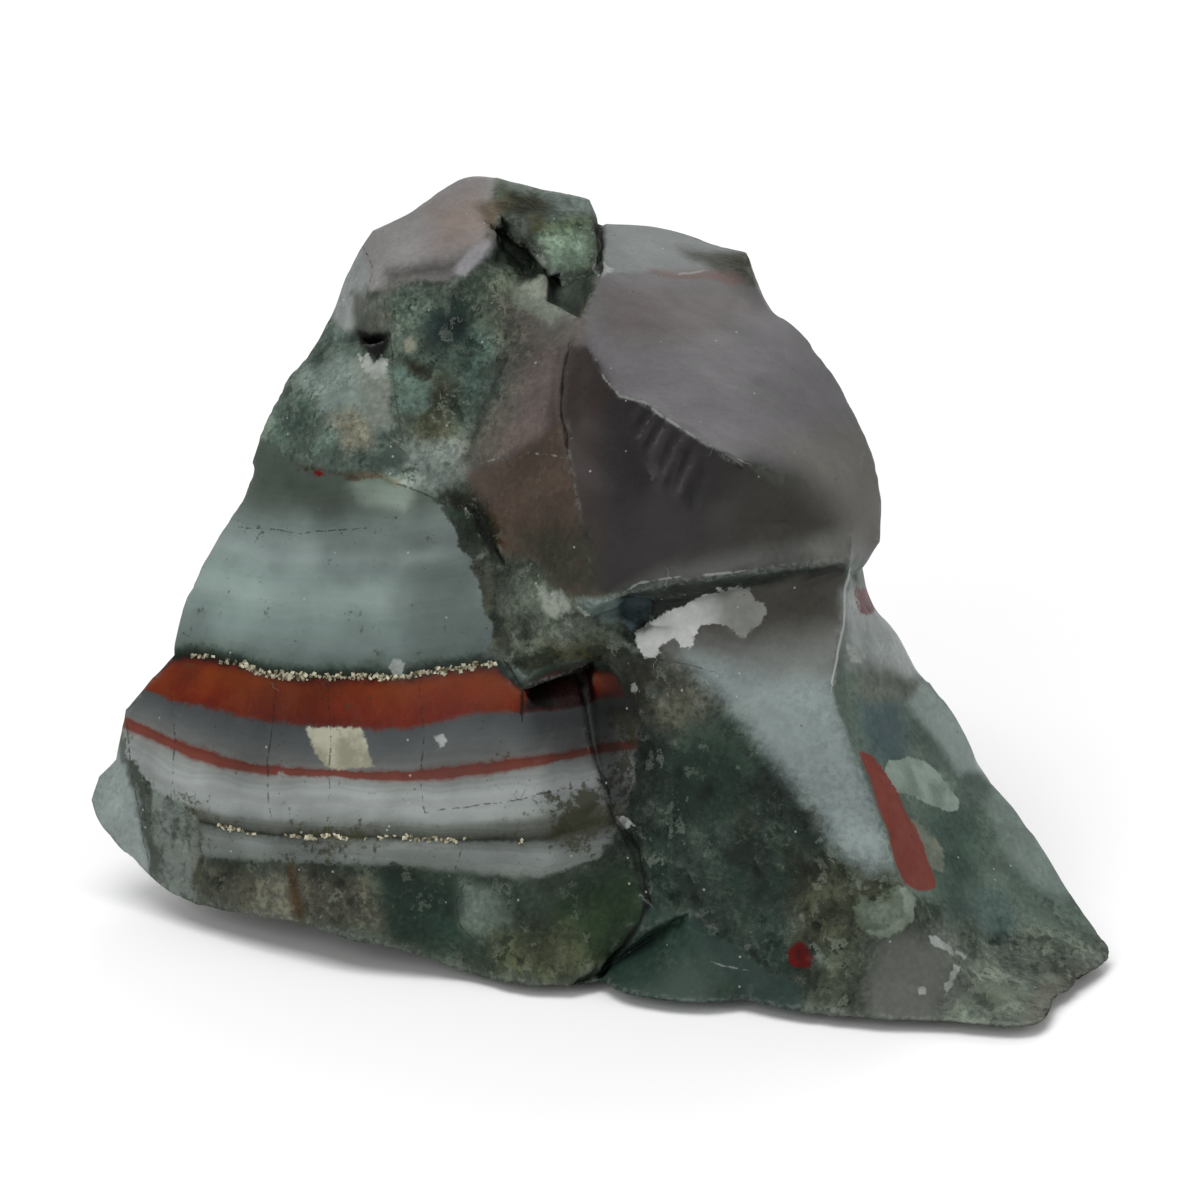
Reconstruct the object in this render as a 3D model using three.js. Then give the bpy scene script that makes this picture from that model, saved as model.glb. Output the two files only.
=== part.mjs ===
// A rough piece of bloodstone, one solid about 51 mm wide, broken out of banded rock.
// Its surface is a closed net of fracture faces that meet at shared corners. Each face is
// divided into small triangles, dished or crowned as a conchoidal break is, and roughened.
// Lengths are millimetres, +Z is up, and the stone rests on its flat base at Z = 0.
import * as THREE from "three";

// The front corners are read off one front elevation, seen from slightly above the horizon.
const VIEW_TILT = THREE.MathUtils.degToRad(20);
const VIEW_DISTANCE = 300;
const VIEW_HEIGHT = 15.9;
const EDGE_CLEARANCE = 0.7;

// The longest edge of a triangle on a front face, on a back face and on the flat base.
const FRONT_STEP = 1.65;
const BACK_STEP = 2.3;
const BASE_STEP = 9;

// How far in from its edges a face reaches its full dish or crown.
const DISH_REACH = 5;

// The broken surface has coarse and fine lumps, and stays this far clear of the ground.
const COARSE_GRAIN = 3.4;
const FINE_GRAIN = 1.3;
const FINE_SHARE = 0.6;
const LOWEST_LUMP = 0.15;
const ON_BASE = 1e-6;

// Where two triangles share a side, it is turned if their far angles add up to more than this.
const TURN_ANGLE = Math.PI + 0.02;
const TURNS_PER_ROUND = 2;

// How far a vertex inside a face moves towards the middle of its neighbours each time.
const RELAX_SHARE = 0.5;

// A face whose normal leans further towards X than this is laid out flat along Z instead.
const LEANS_TO_X = 0.8;

// Multipliers that scatter the values of the random lattice.
const SCATTER = [127.1, 311.7, 74.7];
const SCATTER_GAIN = 43758.5453;

const towards = new THREE.Vector3(0, -Math.cos(VIEW_TILT), Math.sin(VIEW_TILT));
const upwards = new THREE.Vector3(0, Math.sin(VIEW_TILT), Math.cos(VIEW_TILT));

// A point given as seen in the elevation: to the right, up, and nearer the viewer.
function seen(right, up, near) {
  const shrink = 1 - near / VIEW_DISTANCE;
  return new THREE.Vector3(right * shrink, 0, VIEW_HEIGHT)
    .addScaledVector(upwards, up * shrink)
    .addScaledVector(towards, near);
}

// A point of the elevation on the stone's lowest edge, just clear of the ground.
function nearGround(right, up) {
  const rise = up * upwards.z;
  const near = (EDGE_CLEARANCE - VIEW_HEIGHT - rise) / (towards.z - rise / VIEW_DISTANCE);
  return seen(right, up, near);
}

// The outline of the stone in the elevation, clockwise from its highest point, in stretches.
// A point is [right, up, near], or [right, up] where it lies on the lowest edge.
const outline = {
  crown: [
    [-6.5, 21.4, -6],
    [-4.75, 21, -6],
    [-2.6, 20.45, -5.5],
    [-0.5, 20.05, -5],
  ],
  wedge: [
    [0.1, 18.9, -6.2],
    [2, 18.85, -7],
    [4.5, 18.3, -7],
    [6.25, 17.5, -6.5],
    [7.3, 17.35, -6],
    [7.6, 16.75, -5.5],
    [7.7, 15.75, -4.6],
  ],
  dome: [
    [8.4, 14.55, -3.8],
    [10, 13.6, -3.4],
    [11.15, 12, -2.4],
    [12.35, 10.1, -1],
    [13.4, 8, 0.4],
    [14, 6, 1.8],
    [14.15, 4.4, 2.8],
    [14, 2.9, 3.4],
    [13.1, 1.4, 3],
  ],
  waist: [[12.75, 1, 1.8]],
  right: [
    [13.4, 0, 0],
    [14.25, -1.6, 0],
    [15.6, -3.4, 0],
    [17.25, -5, 0],
    [18.4, -6.9, 0.4],
    [19, -8.6, 0.5],
    [20.4, -9.9, 0.8],
    [22, -12.25, 1.4],
    [23.75, -15, 2.2],
    [25.25, -17.25, 3.4],
  ],
  heel: [
    [25.4, -17.75],
    [25.2, -18.25],
    [24.25, -18.75],
    [23.8, -19.4],
    [22.5, -19.85],
  ],
  toe: [
    [22.7, -20.5],
    [22.3, -21.15],
    [21.7, -21.4],
  ],
  sole: [
    [20, -21.3],
    [17, -21],
    [13.5, -21.05],
    [11.25, -20.6],
    [9.5, -20.55],
    [7, -19.95],
    [5.5, -20.25],
    [2, -19.9],
    [0.65, -19.5],
  ],
  cleft: [
    [0.1, -18.95],
    [-0.2, -18.7, 5.6],
  ],
  brow: [
    [-1.5, -19.3],
    [-3.75, -19.3],
    [-6.5, -18.7, 5.2],
    [-10, -17.5, 5.4],
    [-13.5, -16.6, 4.4],
    [-16, -15.9, 3],
    [-18.5, -15.65, 1.2],
    [-20, -15.4, 0],
  ],
  spur: [
    [-21.75, -14.65, -1.4],
    [-22.5, -13.8, -2],
    [-23.6, -12.8, -2.6],
    [-24.5, -12, -3],
    [-25.4, -10.75, -3.4],
  ],
  flank: [
    [-25.4, -10, -3.5],
    [-25, -8.9, -3.4],
    [-24.1, -8, -3],
    [-23.9, -6.75, -2.8],
    [-23.65, -5.5, -2.8],
    [-23.05, -5.1, -2.6],
  ],
  step: [
    [-22.6, -4.1, -2.8],
    [-21.75, -3.25, -3],
    [-21.3, -2.75, -3.2],
  ],
  shoulder: [
    [-21.1, -1.5, -3.4],
    [-20.7, 0.1, -3.4],
    [-20, 1.5, -3.4],
    [-19.2, 2.95, -3.4],
    [-18, 4.75, -3.4],
    [-17.4, 6.2, -3.4],
  ],
  nick: [
    [-17.5, 6.9, -3.6],
    [-16.9, 8.4, -3.8],
    [-15.75, 11.05, -4.2],
    [-15, 11.9, -4.4],
    [-13.95, 12.95, -4.6],
    [-13.1, 14.85, -4.8],
  ],
  sliver: [
    [-12.9, 15.8, -5],
    [-11.9, 17.75, -5.2],
    [-11.35, 18.45, -5.2],
  ],
  knob: [
    [-10.4, 18.8, -5.4],
    [-8.75, 19.75, -5.8],
    [-7.75, 20.9, -6],
  ],
};

// Corners of the fracture faces inside that outline: right, up, near.
const frontCorners = {
  // The smoky knob at the top left and the pale sliver beside it.
  slivertop: [-11.7, 16.7, -3.6],
  sliverfoot: [-12.35, 14.1, -3.4],
  chin: [-11.6, 14.8, -1.4],
  lipA: [-10.4, 15.5, -0.6],
  lipB: [-7.5, 15.65, -0.2],
  lipC: [-6.1, 16.9, -0.8],
  lipD: [-5.4, 17.85, -1.4],
  browA: [-10.75, 18, -3.4],
  browB: [-8.25, 18.75, -3],
  browC: [-5, 19.25, -3.8],
  // The small notch under the knob and the ledge below it.
  notchleft: [-12.1, 13, -3.4],
  notchdeep: [-11.1, 12.5, -3.4],
  notchright: [-10.5, 13.25, -0.6],
  ledgeA: [-12.2, 12.6, -2.2],
  ledgeB: [-11.4, 11.4, -0.4],
  ledgeC: [-10.55, 12.15, -0.2],
  ledgefoot: [-13.25, 8.5, 0.2],
  // The mossy middle and the dark recess between the knob and the green block.
  mossA: [-8, 12, 0.6],
  mossB: [-10.15, 9.4, 1],
  mossC: [-8, 5.9, 1.6],
  recessA: [-5.25, 16.9, -1.8],
  recessB: [-4.75, 17.7, -3.6],
  recessC: [-3.6, 16.8, -3.2],
  // The green block at the top, and the square notch at its foot.
  blockA: [-4, 18.75, -3.2],
  blockB: [-2.75, 19.1, -3.2],
  blockC: [-0.4, 19, -3.8],
  blockD: [-0.15, 16.45, -2.8],
  blockE: [-1.05, 16.05, -2.4],
  blockF: [-2, 16.4, -2.2],
  blockG: [-3.4, 17.6, -2.8],
  squareA: [-2.45, 15.9, -2.8],
  squareB: [-2.55, 14.85, -2.2],
  squareC: [-1.15, 14.25, -1.2],
  // The slope below the notch, and the brown facet under it.
  slopeA: [-4.25, 15.5, -1.6],
  slopeB: [-2.6, 16.05, -1.4],
  slopeC: [-2.75, 14.9, -0.6],
  slopeD: [-4.6, 13, -0.4],
  slopeE: [-5.5, 10, 0.8],
  facetA: [-6.65, 6.9, 1.4],
  facetB: [-4.75, 7.25, 2],
  facetC: [-5.4, 2.75, 3.4],
  facetD: [-3.25, 1.1, 5.2],
  facetE: [-6.1, 4.75, 2.2],
  // The dome: its top edge, the ridge across it, and the lip that overhangs.
  domeA: [0.15, 16.15, -1.6],
  domeB: [4, 16.25, -2.6],
  domeC: [-1, 14, 0.6],
  ridgeA: [-0.4, 12.65, 2],
  ridgeB: [0.6, 10.6, 4.4],
  ridgeC: [2.5, 9.7, 6.3],
  ridgeD: [5, 8, 8.2],
  ridgeE: [7.1, 6.7, 9.2],
  ridgeF: [10, 5.9, 8.6],
  ridgeG: [12.6, 4.4, 6],
  seamA: [-1.85, 10, 3.5],
  seamB: [-1.65, 7.65, 5],
  seamC: [-1, 4.25, 6.4],
  hackleA: [1.4, 7.9, 6],
  hackleB: [2.6, 6.1, 7.4],
  overA: [0, -0.2, 7.2],
  overB: [2.5, 0.6, 8.2],
  overC: [6, 1.15, 8.9],
  overD: [10, 1.7, 8.3],
  overE: [12.5, 2, 6.4],
  underA: [0.6, -0.65, 5.6],
  underB: [2.75, -0.4, 6.8],
  underC: [6.75, 0.55, 7.5],
  underD: [10, 1.2, 7.1],
  underE: [12.4, 1.5, 5.6],
  // The grey face below the lip and the pale ridge that runs down from it.
  paleA: [0.9, -2, 6],
  paleB: [2.25, -2.75, 6.8],
  paleC: [5, -2.75, 7.4],
  paleD: [8.25, -7, 8.8],
  paleE: [10.6, -10.15, 9.8],
  paleF: [12.5, -13.4, 10.6],
  edgeA: [11.6, -4.1, 8.2],
  edgeB: [12.15, -6.75, 8.6],
  edgeC: [13.6, -10, 9.4],
  edgeD: [14.35, -13, 10.2],
  edgeE: [15.5, -15.25, 10.4],
  // The right-hand face.
  sideA: [15.25, -7.25, 4.6],
  sideB: [18, -13, 5.2],
  sideC: [20, -17, 5.6],
  // The front foot of the stone.
  footA: [12.6, -16.75, 10.9],
  footB: [15.25, -16.75, 11],
  footC: [17.5, -17.9, 9.6],
  footD: [4.5, -15.6, 8],
  footE: [8.1, -18.4, 8.8],
  footF: [10, -18.75, 9.6],
  footG: [2.75, -16.75, 5.4],
  hollow: [4.5, -9.5, 7.6],
  // The crack between the banded face and the mossy one.
  crackA: [-0.4, -3.2, 5],
  crackB: [-0.5, -5.25, 4.4],
  crackC: [-0.15, -7.25, 4.8],
  crackD: [0.3, -9.75, 5.6],
  crackE: [1.3, -11.1, 6],
  crackF: [2, -14, 6.6],
  crackG: [2.55, -16.35, 7],
  // The banded face, its small recess, and the green rock under the bands.
  bandA: [-13.5, 6.4, 0.4],
  bandB: [-10, 5, 1.8],
  bandC: [-5.15, -2, 4.2],
  bandD: [-3.8, -4.5, 5.2],
  bandE: [-3.7, -5.7, 5.4],
  bandF: [-17, -3.45, 0.6],
  bandG: [-10, -3.85, 4.2],
  bandH: [-5, -3.4, 4.8],
  pitA: [-3.3, -4.2, 4],
  pitB: [-0.6, -3.4, 3.6],
  bedA: [-18.25, -11.5, 2.3],
  bedB: [-10, -12.4, 6.3],
  bedC: [-2, -12.1, 6.7],
  bedD: [-2.6, -15.25, 7.4],
  endA: [-22.5, -7.25, -1.2],
  endB: [-21.6, -11, -0.6],
  endC: [-20.35, -14.25, 0.2],
};

// Corners behind the outline and under the stone: across, back, up.
const backCorners = {
  restA: [20, -10.3, 0],
  restB: [16.5, -13.3, 0],
  restC: [10, -12, 0],
  restD: [4.5, -11.2, 0],
  restE: [-2.5, -8.6, 0],
  restF: [-9.5, -5, 0],
  restG: [-13, 0, 0],
  restH: [-9.5, 6.5, 0],
  restI: [-1, 9.5, 0],
  restJ: [9, 8, 0],
  restK: [16.5, 1.5, 0],
  restL: [20.5, -4.8, 0],
  hemA: [-19, 5.5, 3.4],
  hemB: [-12.5, 12, 3],
  hemC: [-1.5, 15.2, 2.2],
  hemD: [10.5, 13, 3],
  hemE: [18.6, 6, 2.6],
  hemF: [21.6, -1, 2.6],
  girthA: [-20.5, 7, 9.5],
  girthB: [-15, 13.4, 13],
  girthC: [-5, 18, 11],
  girthD: [8.5, 17, 12],
  girthE: [14.4, 8.8, 9],
  spineA: [-9, 16.4, 20.5],
  spineB: [3.5, 19, 19],
  napeA: [-14, 12, 24],
  napeB: [-5, 16, 28.5],
  napeC: [5, 16.5, 25.5],
  napeD: [12, 10.5, 19],
};

const corners = new Map();
const rim = [];
for (const [stretch, points] of Object.entries(outline)) {
  points.forEach(([right, up, near], i) => {
    const name = stretch + i;
    corners.set(name, near === undefined ? nearGround(right, up) : seen(right, up, near));
    rim.push(name);
  });
}
for (const [name, place] of Object.entries(frontCorners)) corners.set(name, seen(...place));
for (const [name, place] of Object.entries(backCorners)) corners.set(name, new THREE.Vector3(...place));

// The names of the outline's points from one to another, going clockwise.
function along(first, last) {
  const start = rim.indexOf(first);
  const count = ((rim.indexOf(last) - start + rim.length) % rim.length) + 1;
  return Array.from({ length: count }, (_, i) => rim[(start + i) % rim.length]);
}

// Faces, each with its crown (a dish if negative), its roughness and its loop of corners.
const SMOOTH = 0.05;
const BROKEN = 0.16;
const MOSSY = 0.34;
const frontFaces = [
  [0.5, SMOOTH, ["browC", "browB", "browA", "sliver2", ...along("knob0", "crown1")]],
  [0.7, SMOOTH, ["browA", "browB", "browC", "lipD", "lipC", "lipB", "lipA", "chin", "slivertop"]],
  [0.2, SMOOTH, [...along("nick5", "sliver2"), "browA", "slivertop", "sliverfoot"]],
  [0, SMOOTH, ["slivertop", "chin", "sliverfoot"]],
  [-0.2, BROKEN, ["sliverfoot", "chin", "lipA", "notchright", "notchdeep", "notchleft"]],
  [0, BROKEN, ["notchleft", "notchdeep", "notchright", "ledgeC", "ledgeB", "ledgeA"]],
  [0.3, BROKEN, [...along("nick1", "nick5"), "sliverfoot", "notchleft", "ledgeA", "ledgeB", "ledgefoot"]],
  [0.2, MOSSY, ["nick0", "nick1", "ledgefoot", "bandA", "shoulder5"]],
  [0.3, SMOOTH, ["ledgeB", "ledgeC", "mossB", "ledgefoot"]],
  [0.2, MOSSY, ["ledgefoot", "mossB", "bandB", "bandA"]],
  [0.3, MOSSY, ["ledgeC", "notchright", "lipA", "lipB", "mossA", "mossB"]],
  [0.2, MOSSY, ["lipB", "lipC", "recessA", "slopeA", "slopeD", "mossA"]],
  [0.4, MOSSY, ["mossA", "slopeD", "slopeE", "facetA", "mossC", "bandB", "mossB"]],
  [-0.2, MOSSY, ["lipD", "browC", "blockA", "recessB"]],
  [0, MOSSY, ["lipC", "lipD", "recessB", "recessA"]],
  [0, MOSSY, ["recessB", "blockA", "blockG", "recessC"]],
  [0, MOSSY, ["recessA", "recessB", "recessC", "slopeA"]],
  [0, MOSSY, ["recessC", "blockG", "blockF", "slopeB", "slopeA"]],
  [0.2, BROKEN, [...along("crown1", "crown3"), "blockC", "blockB", "blockA", "browC"]],
  [0.4, MOSSY, ["blockA", "blockB", "blockC", "blockD", "blockE", "blockF", "blockG"]],
  [0, BROKEN, ["crown3", "wedge0", "blockC"]],
  [0, BROKEN, ["wedge0", "domeA", "blockD"]],
  [0, BROKEN, ["wedge0", "blockD", "blockC"]],
  [0.2, SMOOTH, [...along("wedge0", "wedge6"), "domeB", "domeA"]],
  [0, BROKEN, ["blockF", "blockE", "squareC", "squareB", "squareA"]],
  [0, SMOOTH, ["slopeB", "blockF", "squareA"]],
  [0, SMOOTH, ["slopeB", "squareA", "squareB", "slopeC"]],
  [0, SMOOTH, ["slopeC", "squareB", "squareC", "domeC"]],
  [0, SMOOTH, ["blockE", "blockD", "domeA", "domeC", "squareC"]],
  [0.3, SMOOTH, [
    "slopeA", "slopeB", "slopeC", "domeC", "seamA", "seamB", "facetB", "facetA", "slopeE", "slopeD",
  ]],
  [-0.3, SMOOTH, ["facetA", "facetB", "seamB", "seamC", "overA", "facetD", "facetC", "facetE"]],
  [0.6, SMOOTH, [
    "domeA", "domeB", "wedge6", ...along("dome0", "dome6"),
    "ridgeG", "ridgeF", "ridgeE", "ridgeD", "ridgeC", "ridgeB", "ridgeA", "domeC",
  ]],
  [0.2, SMOOTH, [...along("dome6", "dome8"), "overE", "ridgeG"]],
  [-0.5, SMOOTH, [
    "ridgeC", "hackleA", "hackleB", "overB", "overC", "overD", "overE",
    "ridgeG", "ridgeF", "ridgeE", "ridgeD",
  ]],
  [-0.3, SMOOTH, [
    "domeC", "ridgeA", "ridgeB", "ridgeC", "hackleA", "hackleB", "overB", "overA",
    "seamC", "seamB", "seamA",
  ]],
  [0, SMOOTH, [
    "overA", "overB", "overC", "overD", "overE",
    "underE", "underD", "underC", "underB", "underA",
  ]],
  [0, SMOOTH, ["overE", "dome8", "waist0", "underE"]],
  [-0.4, SMOOTH, [
    "underA", "underB", "underC", "underD", "underE", "edgeA", "paleC", "paleB", "paleA",
  ]],
  [0.4, MOSSY, [
    "facetC", "facetD", "overA", "underA", "paleA", "crackA", "bandD", "bandH", "bandC",
  ]],
  [0, BROKEN, ["bandD", "crackA", "pitB", "pitA"]],
  [0, BROKEN, ["bandD", "pitA", "bandE"]],
  [0, BROKEN, ["pitA", "pitB", "crackB", "bandE"]],
  [0, BROKEN, ["crackA", "crackB", "pitB"]],
  [0.9, SMOOTH, [
    ...along("shoulder0", "shoulder5"), "bandA", "bandB", "mossC", "facetE", "facetC",
    "bandC", "bandH", "bandG", "bandF", "step2",
  ]],
  [0, MOSSY, ["facetA", "facetE", "mossC"]],
  [1, BROKEN, [
    ...along("flank5", "step2"), "bandF", "bandG", "bandH", "bandD", "bandE", "crackB", "crackC",
    "crackD", "bedC", "bedB", "bedA", "endB", "endA",
  ]],
  [0.5, BROKEN, ["bedA", "bedB", "bedC", "bedD", ...along("brow1", "brow7"), "endC", "endB"]],
  [0.5, BROKEN, [
    "bedC", "crackD", "crackE", "crackF", "crackG", "cleft1", "brow0", "brow1", "bedD",
  ]],
  [0.2, BROKEN, [...along("spur0", "flank5"), "endA", "endB", "endC", "brow7"]],
  [0.3, MOSSY, [
    "paleA", "paleB", "paleC", "paleD", "hollow", "crackD", "crackC", "crackB", "crackA",
  ]],
  [0.3, MOSSY, [
    "hollow", "paleD", "paleE", "paleF", "footA", "footF", "footE", "footD", "crackG",
    "crackF", "crackE", "crackD",
  ]],
  [0.3, SMOOTH, ["paleC", "edgeA", "edgeB", "edgeC", "edgeD", "paleF", "paleE", "paleD"]],
  [0.4, BROKEN, ["paleF", "edgeD", "edgeE", "footB", "footA"]],
  [0.2, SMOOTH, ["underE", "waist0", ...along("right0", "right3"), "sideA", "edgeB", "edgeA"]],
  [0.2, SMOOTH, ["sideA", ...along("right3", "right7"), "sideB", "edgeD", "edgeC", "edgeB"]],
  [0.3, BROKEN, ["sideB", ...along("right7", "heel2"), "sideC", "edgeE", "edgeD"]],
  [0.1, BROKEN, ["edgeE", "sideC", "footC", "footB"]],
  [0.3, BROKEN, ["footC", "sideC", ...along("heel2", "sole1")]],
  [0.2, BROKEN, ["footA", "footB", "footC", ...along("sole1", "sole3"), "footF"]],
  [0.2, SMOOTH, ["footE", "footF", ...along("sole3", "sole5")]],
  [-0.2, SMOOTH, ["footG", "footD", "footE", ...along("sole5", "cleft0")]],
  [0, BROKEN, ["crackG", "footD", "footG"]],
  [0, BROKEN, ["crackG", "footG", "cleft1"]],
  [0, BROKEN, ["footG", "cleft0", "cleft1"]],
  [0, 0, ["cleft0", "cleft1", "brow0"]],
];
const backFaces = [
  [0.5, BROKEN, [...along("flank0", "step2"), "girthA", "hemA"]],
  [-0.4, SMOOTH, [...along("step2", "shoulder5"), "napeA", "girthB", "girthA"]],
  [0.3, BROKEN, [...along("shoulder5", "sliver2"), "napeA"]],
  [0.5, SMOOTH, [...along("sliver2", "crown0"), "napeB", "napeA"]],
  [0.3, BROKEN, [...along("crown0", "wedge1"), "napeC", "napeB"]],
  [0.3, SMOOTH, [...along("wedge1", "wedge4"), "napeD", "napeC"]],
  [0.3, SMOOTH, [...along("wedge4", "dome3"), "napeD"]],
  [-0.4, SMOOTH, [...along("dome3", "right1"), "girthE", "napeD"]],
  [0.3, BROKEN, [...along("right1", "right6"), "hemF", "girthE"]],
  [0.2, BROKEN, [...along("right6", "heel0"), "hemF"]],
  [0, BROKEN, ["girthE", "hemF", "hemE"]],
  [0.2, SMOOTH, ["napeA", "napeB", "spineA"]],
  [0.3, SMOOTH, ["napeA", "spineA", "girthB"]],
  [-0.5, SMOOTH, ["napeB", "napeC", "spineB", "spineA"]],
  [0.3, MOSSY, ["spineA", "spineB", "girthC"]],
  [-0.3, MOSSY, ["spineA", "girthC", "girthB"]],
  [0.3, MOSSY, ["spineB", "girthD", "girthC"]],
  [0.2, BROKEN, ["napeC", "girthD", "spineB"]],
  [-0.6, SMOOTH, ["napeC", "napeD", "girthE", "girthD"]],
  [0.3, MOSSY, ["girthA", "girthB", "hemB", "hemA"]],
  [0.5, MOSSY, ["girthB", "girthC", "hemC", "hemB"]],
  [0.4, BROKEN, ["girthC", "girthD", "hemD", "hemC"]],
  [0.3, BROKEN, ["girthD", "girthE", "hemE", "hemD"]],
  [0, SMOOTH, [...along("heel2", "sole0"), "restB", "restA"]],
  [0, SMOOTH, [...along("sole0", "sole3"), "restC", "restB"]],
  [0, SMOOTH, [...along("sole3", "sole6"), "restD", "restC"]],
  [0, SMOOTH, [...along("sole6", "cleft0"), "brow0", "brow1", "restE", "restD"]],
  [0.2, BROKEN, [...along("brow1", "brow4"), "restF", "restE"]],
  [0.3, BROKEN, [...along("brow4", "brow7"), "spur0", "restG", "restF"]],
  [0.3, BROKEN, [...along("spur0", "flank0"), "hemA", "restG"]],
  [0.2, BROKEN, ["hemA", "hemB", "restH", "restG"]],
  [0.2, BROKEN, ["hemB", "hemC", "restI", "restH"]],
  [0.2, BROKEN, ["hemC", "hemD", "restJ", "restI"]],
  [0.2, BROKEN, ["hemD", "hemE", "restK", "restJ"]],
  [0.1, BROKEN, ["hemE", "hemF", "restL", "restK"]],
  [0, SMOOTH, ["hemF", "heel0", "heel1", "heel2", "restA", "restL"]],
];
const baseFace = [0, 0, Object.keys(backCorners).filter((name) => name.startsWith("rest"))];

// The faces with their loops turned so that they run anticlockwise as seen from outside.
function turned([crown, rough, loop], outwardSign, longest) {
  const flat = loop.map((name) => {
    const point = corners.get(name);
    if (!point) throw new Error("no corner named " + name);
    return new THREE.Vector2(point.x, point.dot(upwards));
  });
  const order = THREE.ShapeUtils.area(flat) * outwardSign > 0 ? loop : [...loop].reverse();
  return { crown, rough, loop: order, longest };
}

const faces = [
  ...frontFaces.map((face) => turned(face, 1, FRONT_STEP)),
  ...backFaces.map((face) => turned(face, -1, BACK_STEP)),
  turned(baseFace, -1, BASE_STEP),
];

// The points of a loop, laid out flat on the plane that fits them best.
function layFlat(points) {
  const normal = new THREE.Vector3();
  points.forEach((p, i) => {
    const q = points[(i + 1) % points.length];
    normal.x += (p.y - q.y) * (p.z + q.z);
    normal.y += (p.z - q.z) * (p.x + q.x);
    normal.z += (p.x - q.x) * (p.y + q.y);
  });
  normal.normalize();
  const across = new THREE.Vector3(1, 0, 0);
  if (Math.abs(normal.x) > LEANS_TO_X) across.set(0, 0, 1);
  across.cross(normal).normalize();
  const other = normal.clone().cross(across);
  return points.map((p) => new THREE.Vector2(p.dot(across), p.dot(other)));
}

const vertices = [...corners.values()].map((point) => point.clone());
const numberOf = new Map([...corners.keys()].map((name, i) => [name, i]));

const edgeKey = (a, b) => (a < b ? a + "_" + b : b + "_" + a);

// Replaces the side that two triangles share by the line between their other corners.
function turnSharedSide(first, second, a, b) {
  const [c, d] = [first, second].map((at) => at.find((v) => v !== a && v !== b));
  const before = first[(first.indexOf(c) + 1) % 3];
  const after = before === a ? b : a;
  return [
    [c, before, d],
    [d, after, c],
  ];
}

// Sides that the faces divided so far use, so that no two faces share an inner side.
const takenSides = new Set();

function firstTriangles(face, faceNumber) {
  const flat = layFlat(face.loop.map((name) => corners.get(name)));
  const loops = THREE.ShapeUtils.triangulateShape(flat, []);
  const found = loops.map((triangle) => triangle.map((i) => numberOf.get(face.loop[i])));
  for (let s = 0; s < found.length; s += 1) {
    for (let t = 0; t < found.length; t += 1) {
      const shared = found[s].filter((v) => found[t].includes(v));
      if (shared.length === 2 && takenSides.has(edgeKey(...shared))) {
        [found[s], found[t]] = turnSharedSide(found[s], found[t], ...shared);
      }
    }
  }
  for (const [a, b, c] of found) takenSides.add(edgeKey(a, b)).add(edgeKey(b, c)).add(edgeKey(c, a));
  return found.map((at) => ({ face: faceNumber, at }));
}

// Which triangles lie on each edge. Every edge of a closed surface has two.
function edgesOf(triangles) {
  const edges = new Map();
  triangles.forEach((triangle, t) => {
    triangle.at.forEach((a, i) => {
      const key = edgeKey(a, triangle.at[(i + 1) % 3]);
      if (!edges.has(key)) edges.set(key, []);
      edges.get(key).push(t);
    });
  });
  return edges;
}

// Splits each edge that is longer than its faces allow, and divides the triangles on it.
function splitLongEdges(triangles) {
  const middles = new Map();
  for (const [key, users] of edgesOf(triangles)) {
    const [a, b] = key.split("_").map(Number);
    const longest = Math.min(...users.map((t) => faces[triangles[t].face].longest));
    if (vertices[a].distanceTo(vertices[b]) > longest) {
      middles.set(key, vertices.length);
      vertices.push(vertices[a].clone().lerp(vertices[b], 0.5));
    }
  }
  const divided = triangles.flatMap(({ at, face }) => {
    const cuts = at.map((a, i) => middles.get(edgeKey(a, at[(i + 1) % 3])));
    const cutCount = cuts.filter((cut) => cut !== undefined).length;
    if (cutCount === 0) return [{ at, face }];
    if (cutCount === 3) {
      return [
        [at[0], cuts[0], cuts[2]],
        [cuts[0], at[1], cuts[1]],
        [cuts[2], cuts[1], at[2]],
        cuts,
      ].map((corner) => ({ at: corner, face }));
    }
    const turn = cutCount === 1
      ? cuts.findIndex((cut) => cut !== undefined)
      : (cuts.findIndex((cut) => cut === undefined) + 1) % 3;
    const [a, b, c] = [0, 1, 2].map((i) => at[(i + turn) % 3]);
    const [first, second] = [0, 1].map((i) => cuts[(i + turn) % 3]);
    const pieces = cutCount === 1
      ? [[a, first, c], [first, b, c]]
      : [[first, b, second], [a, first, second], [a, second, c]];
    return pieces.map((corner) => ({ at: corner, face }));
  });
  return { divided, changed: middles.size > 0 };
}

// Turns an edge inside a face where the other diagonal gives better-shaped triangles.
function turnEdges(triangles) {
  const edges = edgesOf(triangles);
  const touched = new Set();
  for (const [key, users] of edges) {
    const [s, t] = users;
    if (users.length !== 2 || touched.has(s) || touched.has(t)) continue;
    if (triangles[s].face !== triangles[t].face) continue;
    const [a, b] = key.split("_").map(Number);
    const tipOf = (n) => triangles[n].at.find((v) => v !== a && v !== b);
    const [c, d] = [tipOf(s), tipOf(t)];
    if (edges.has(edgeKey(c, d))) continue;
    const angleAt = (tip) => {
      const toA = vertices[a].clone().sub(vertices[tip]);
      return toA.angleTo(vertices[b].clone().sub(vertices[tip]));
    };
    if (angleAt(c) + angleAt(d) < TURN_ANGLE) continue;
    const [{ at: first, face }, { at: second }] = [triangles[s], triangles[t]];
    [triangles[s], triangles[t]] = turnSharedSide(first, second, a, b).map((at) => ({ at, face }));
    touched.add(s).add(t);
    edges.set(edgeKey(c, d), [s, t]);
    for (const side of [[c, a], [c, b], [d, a], [d, b]]) {
      for (const n of edges.get(edgeKey(...side)) ?? []) touched.add(n);
    }
  }
}

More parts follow.
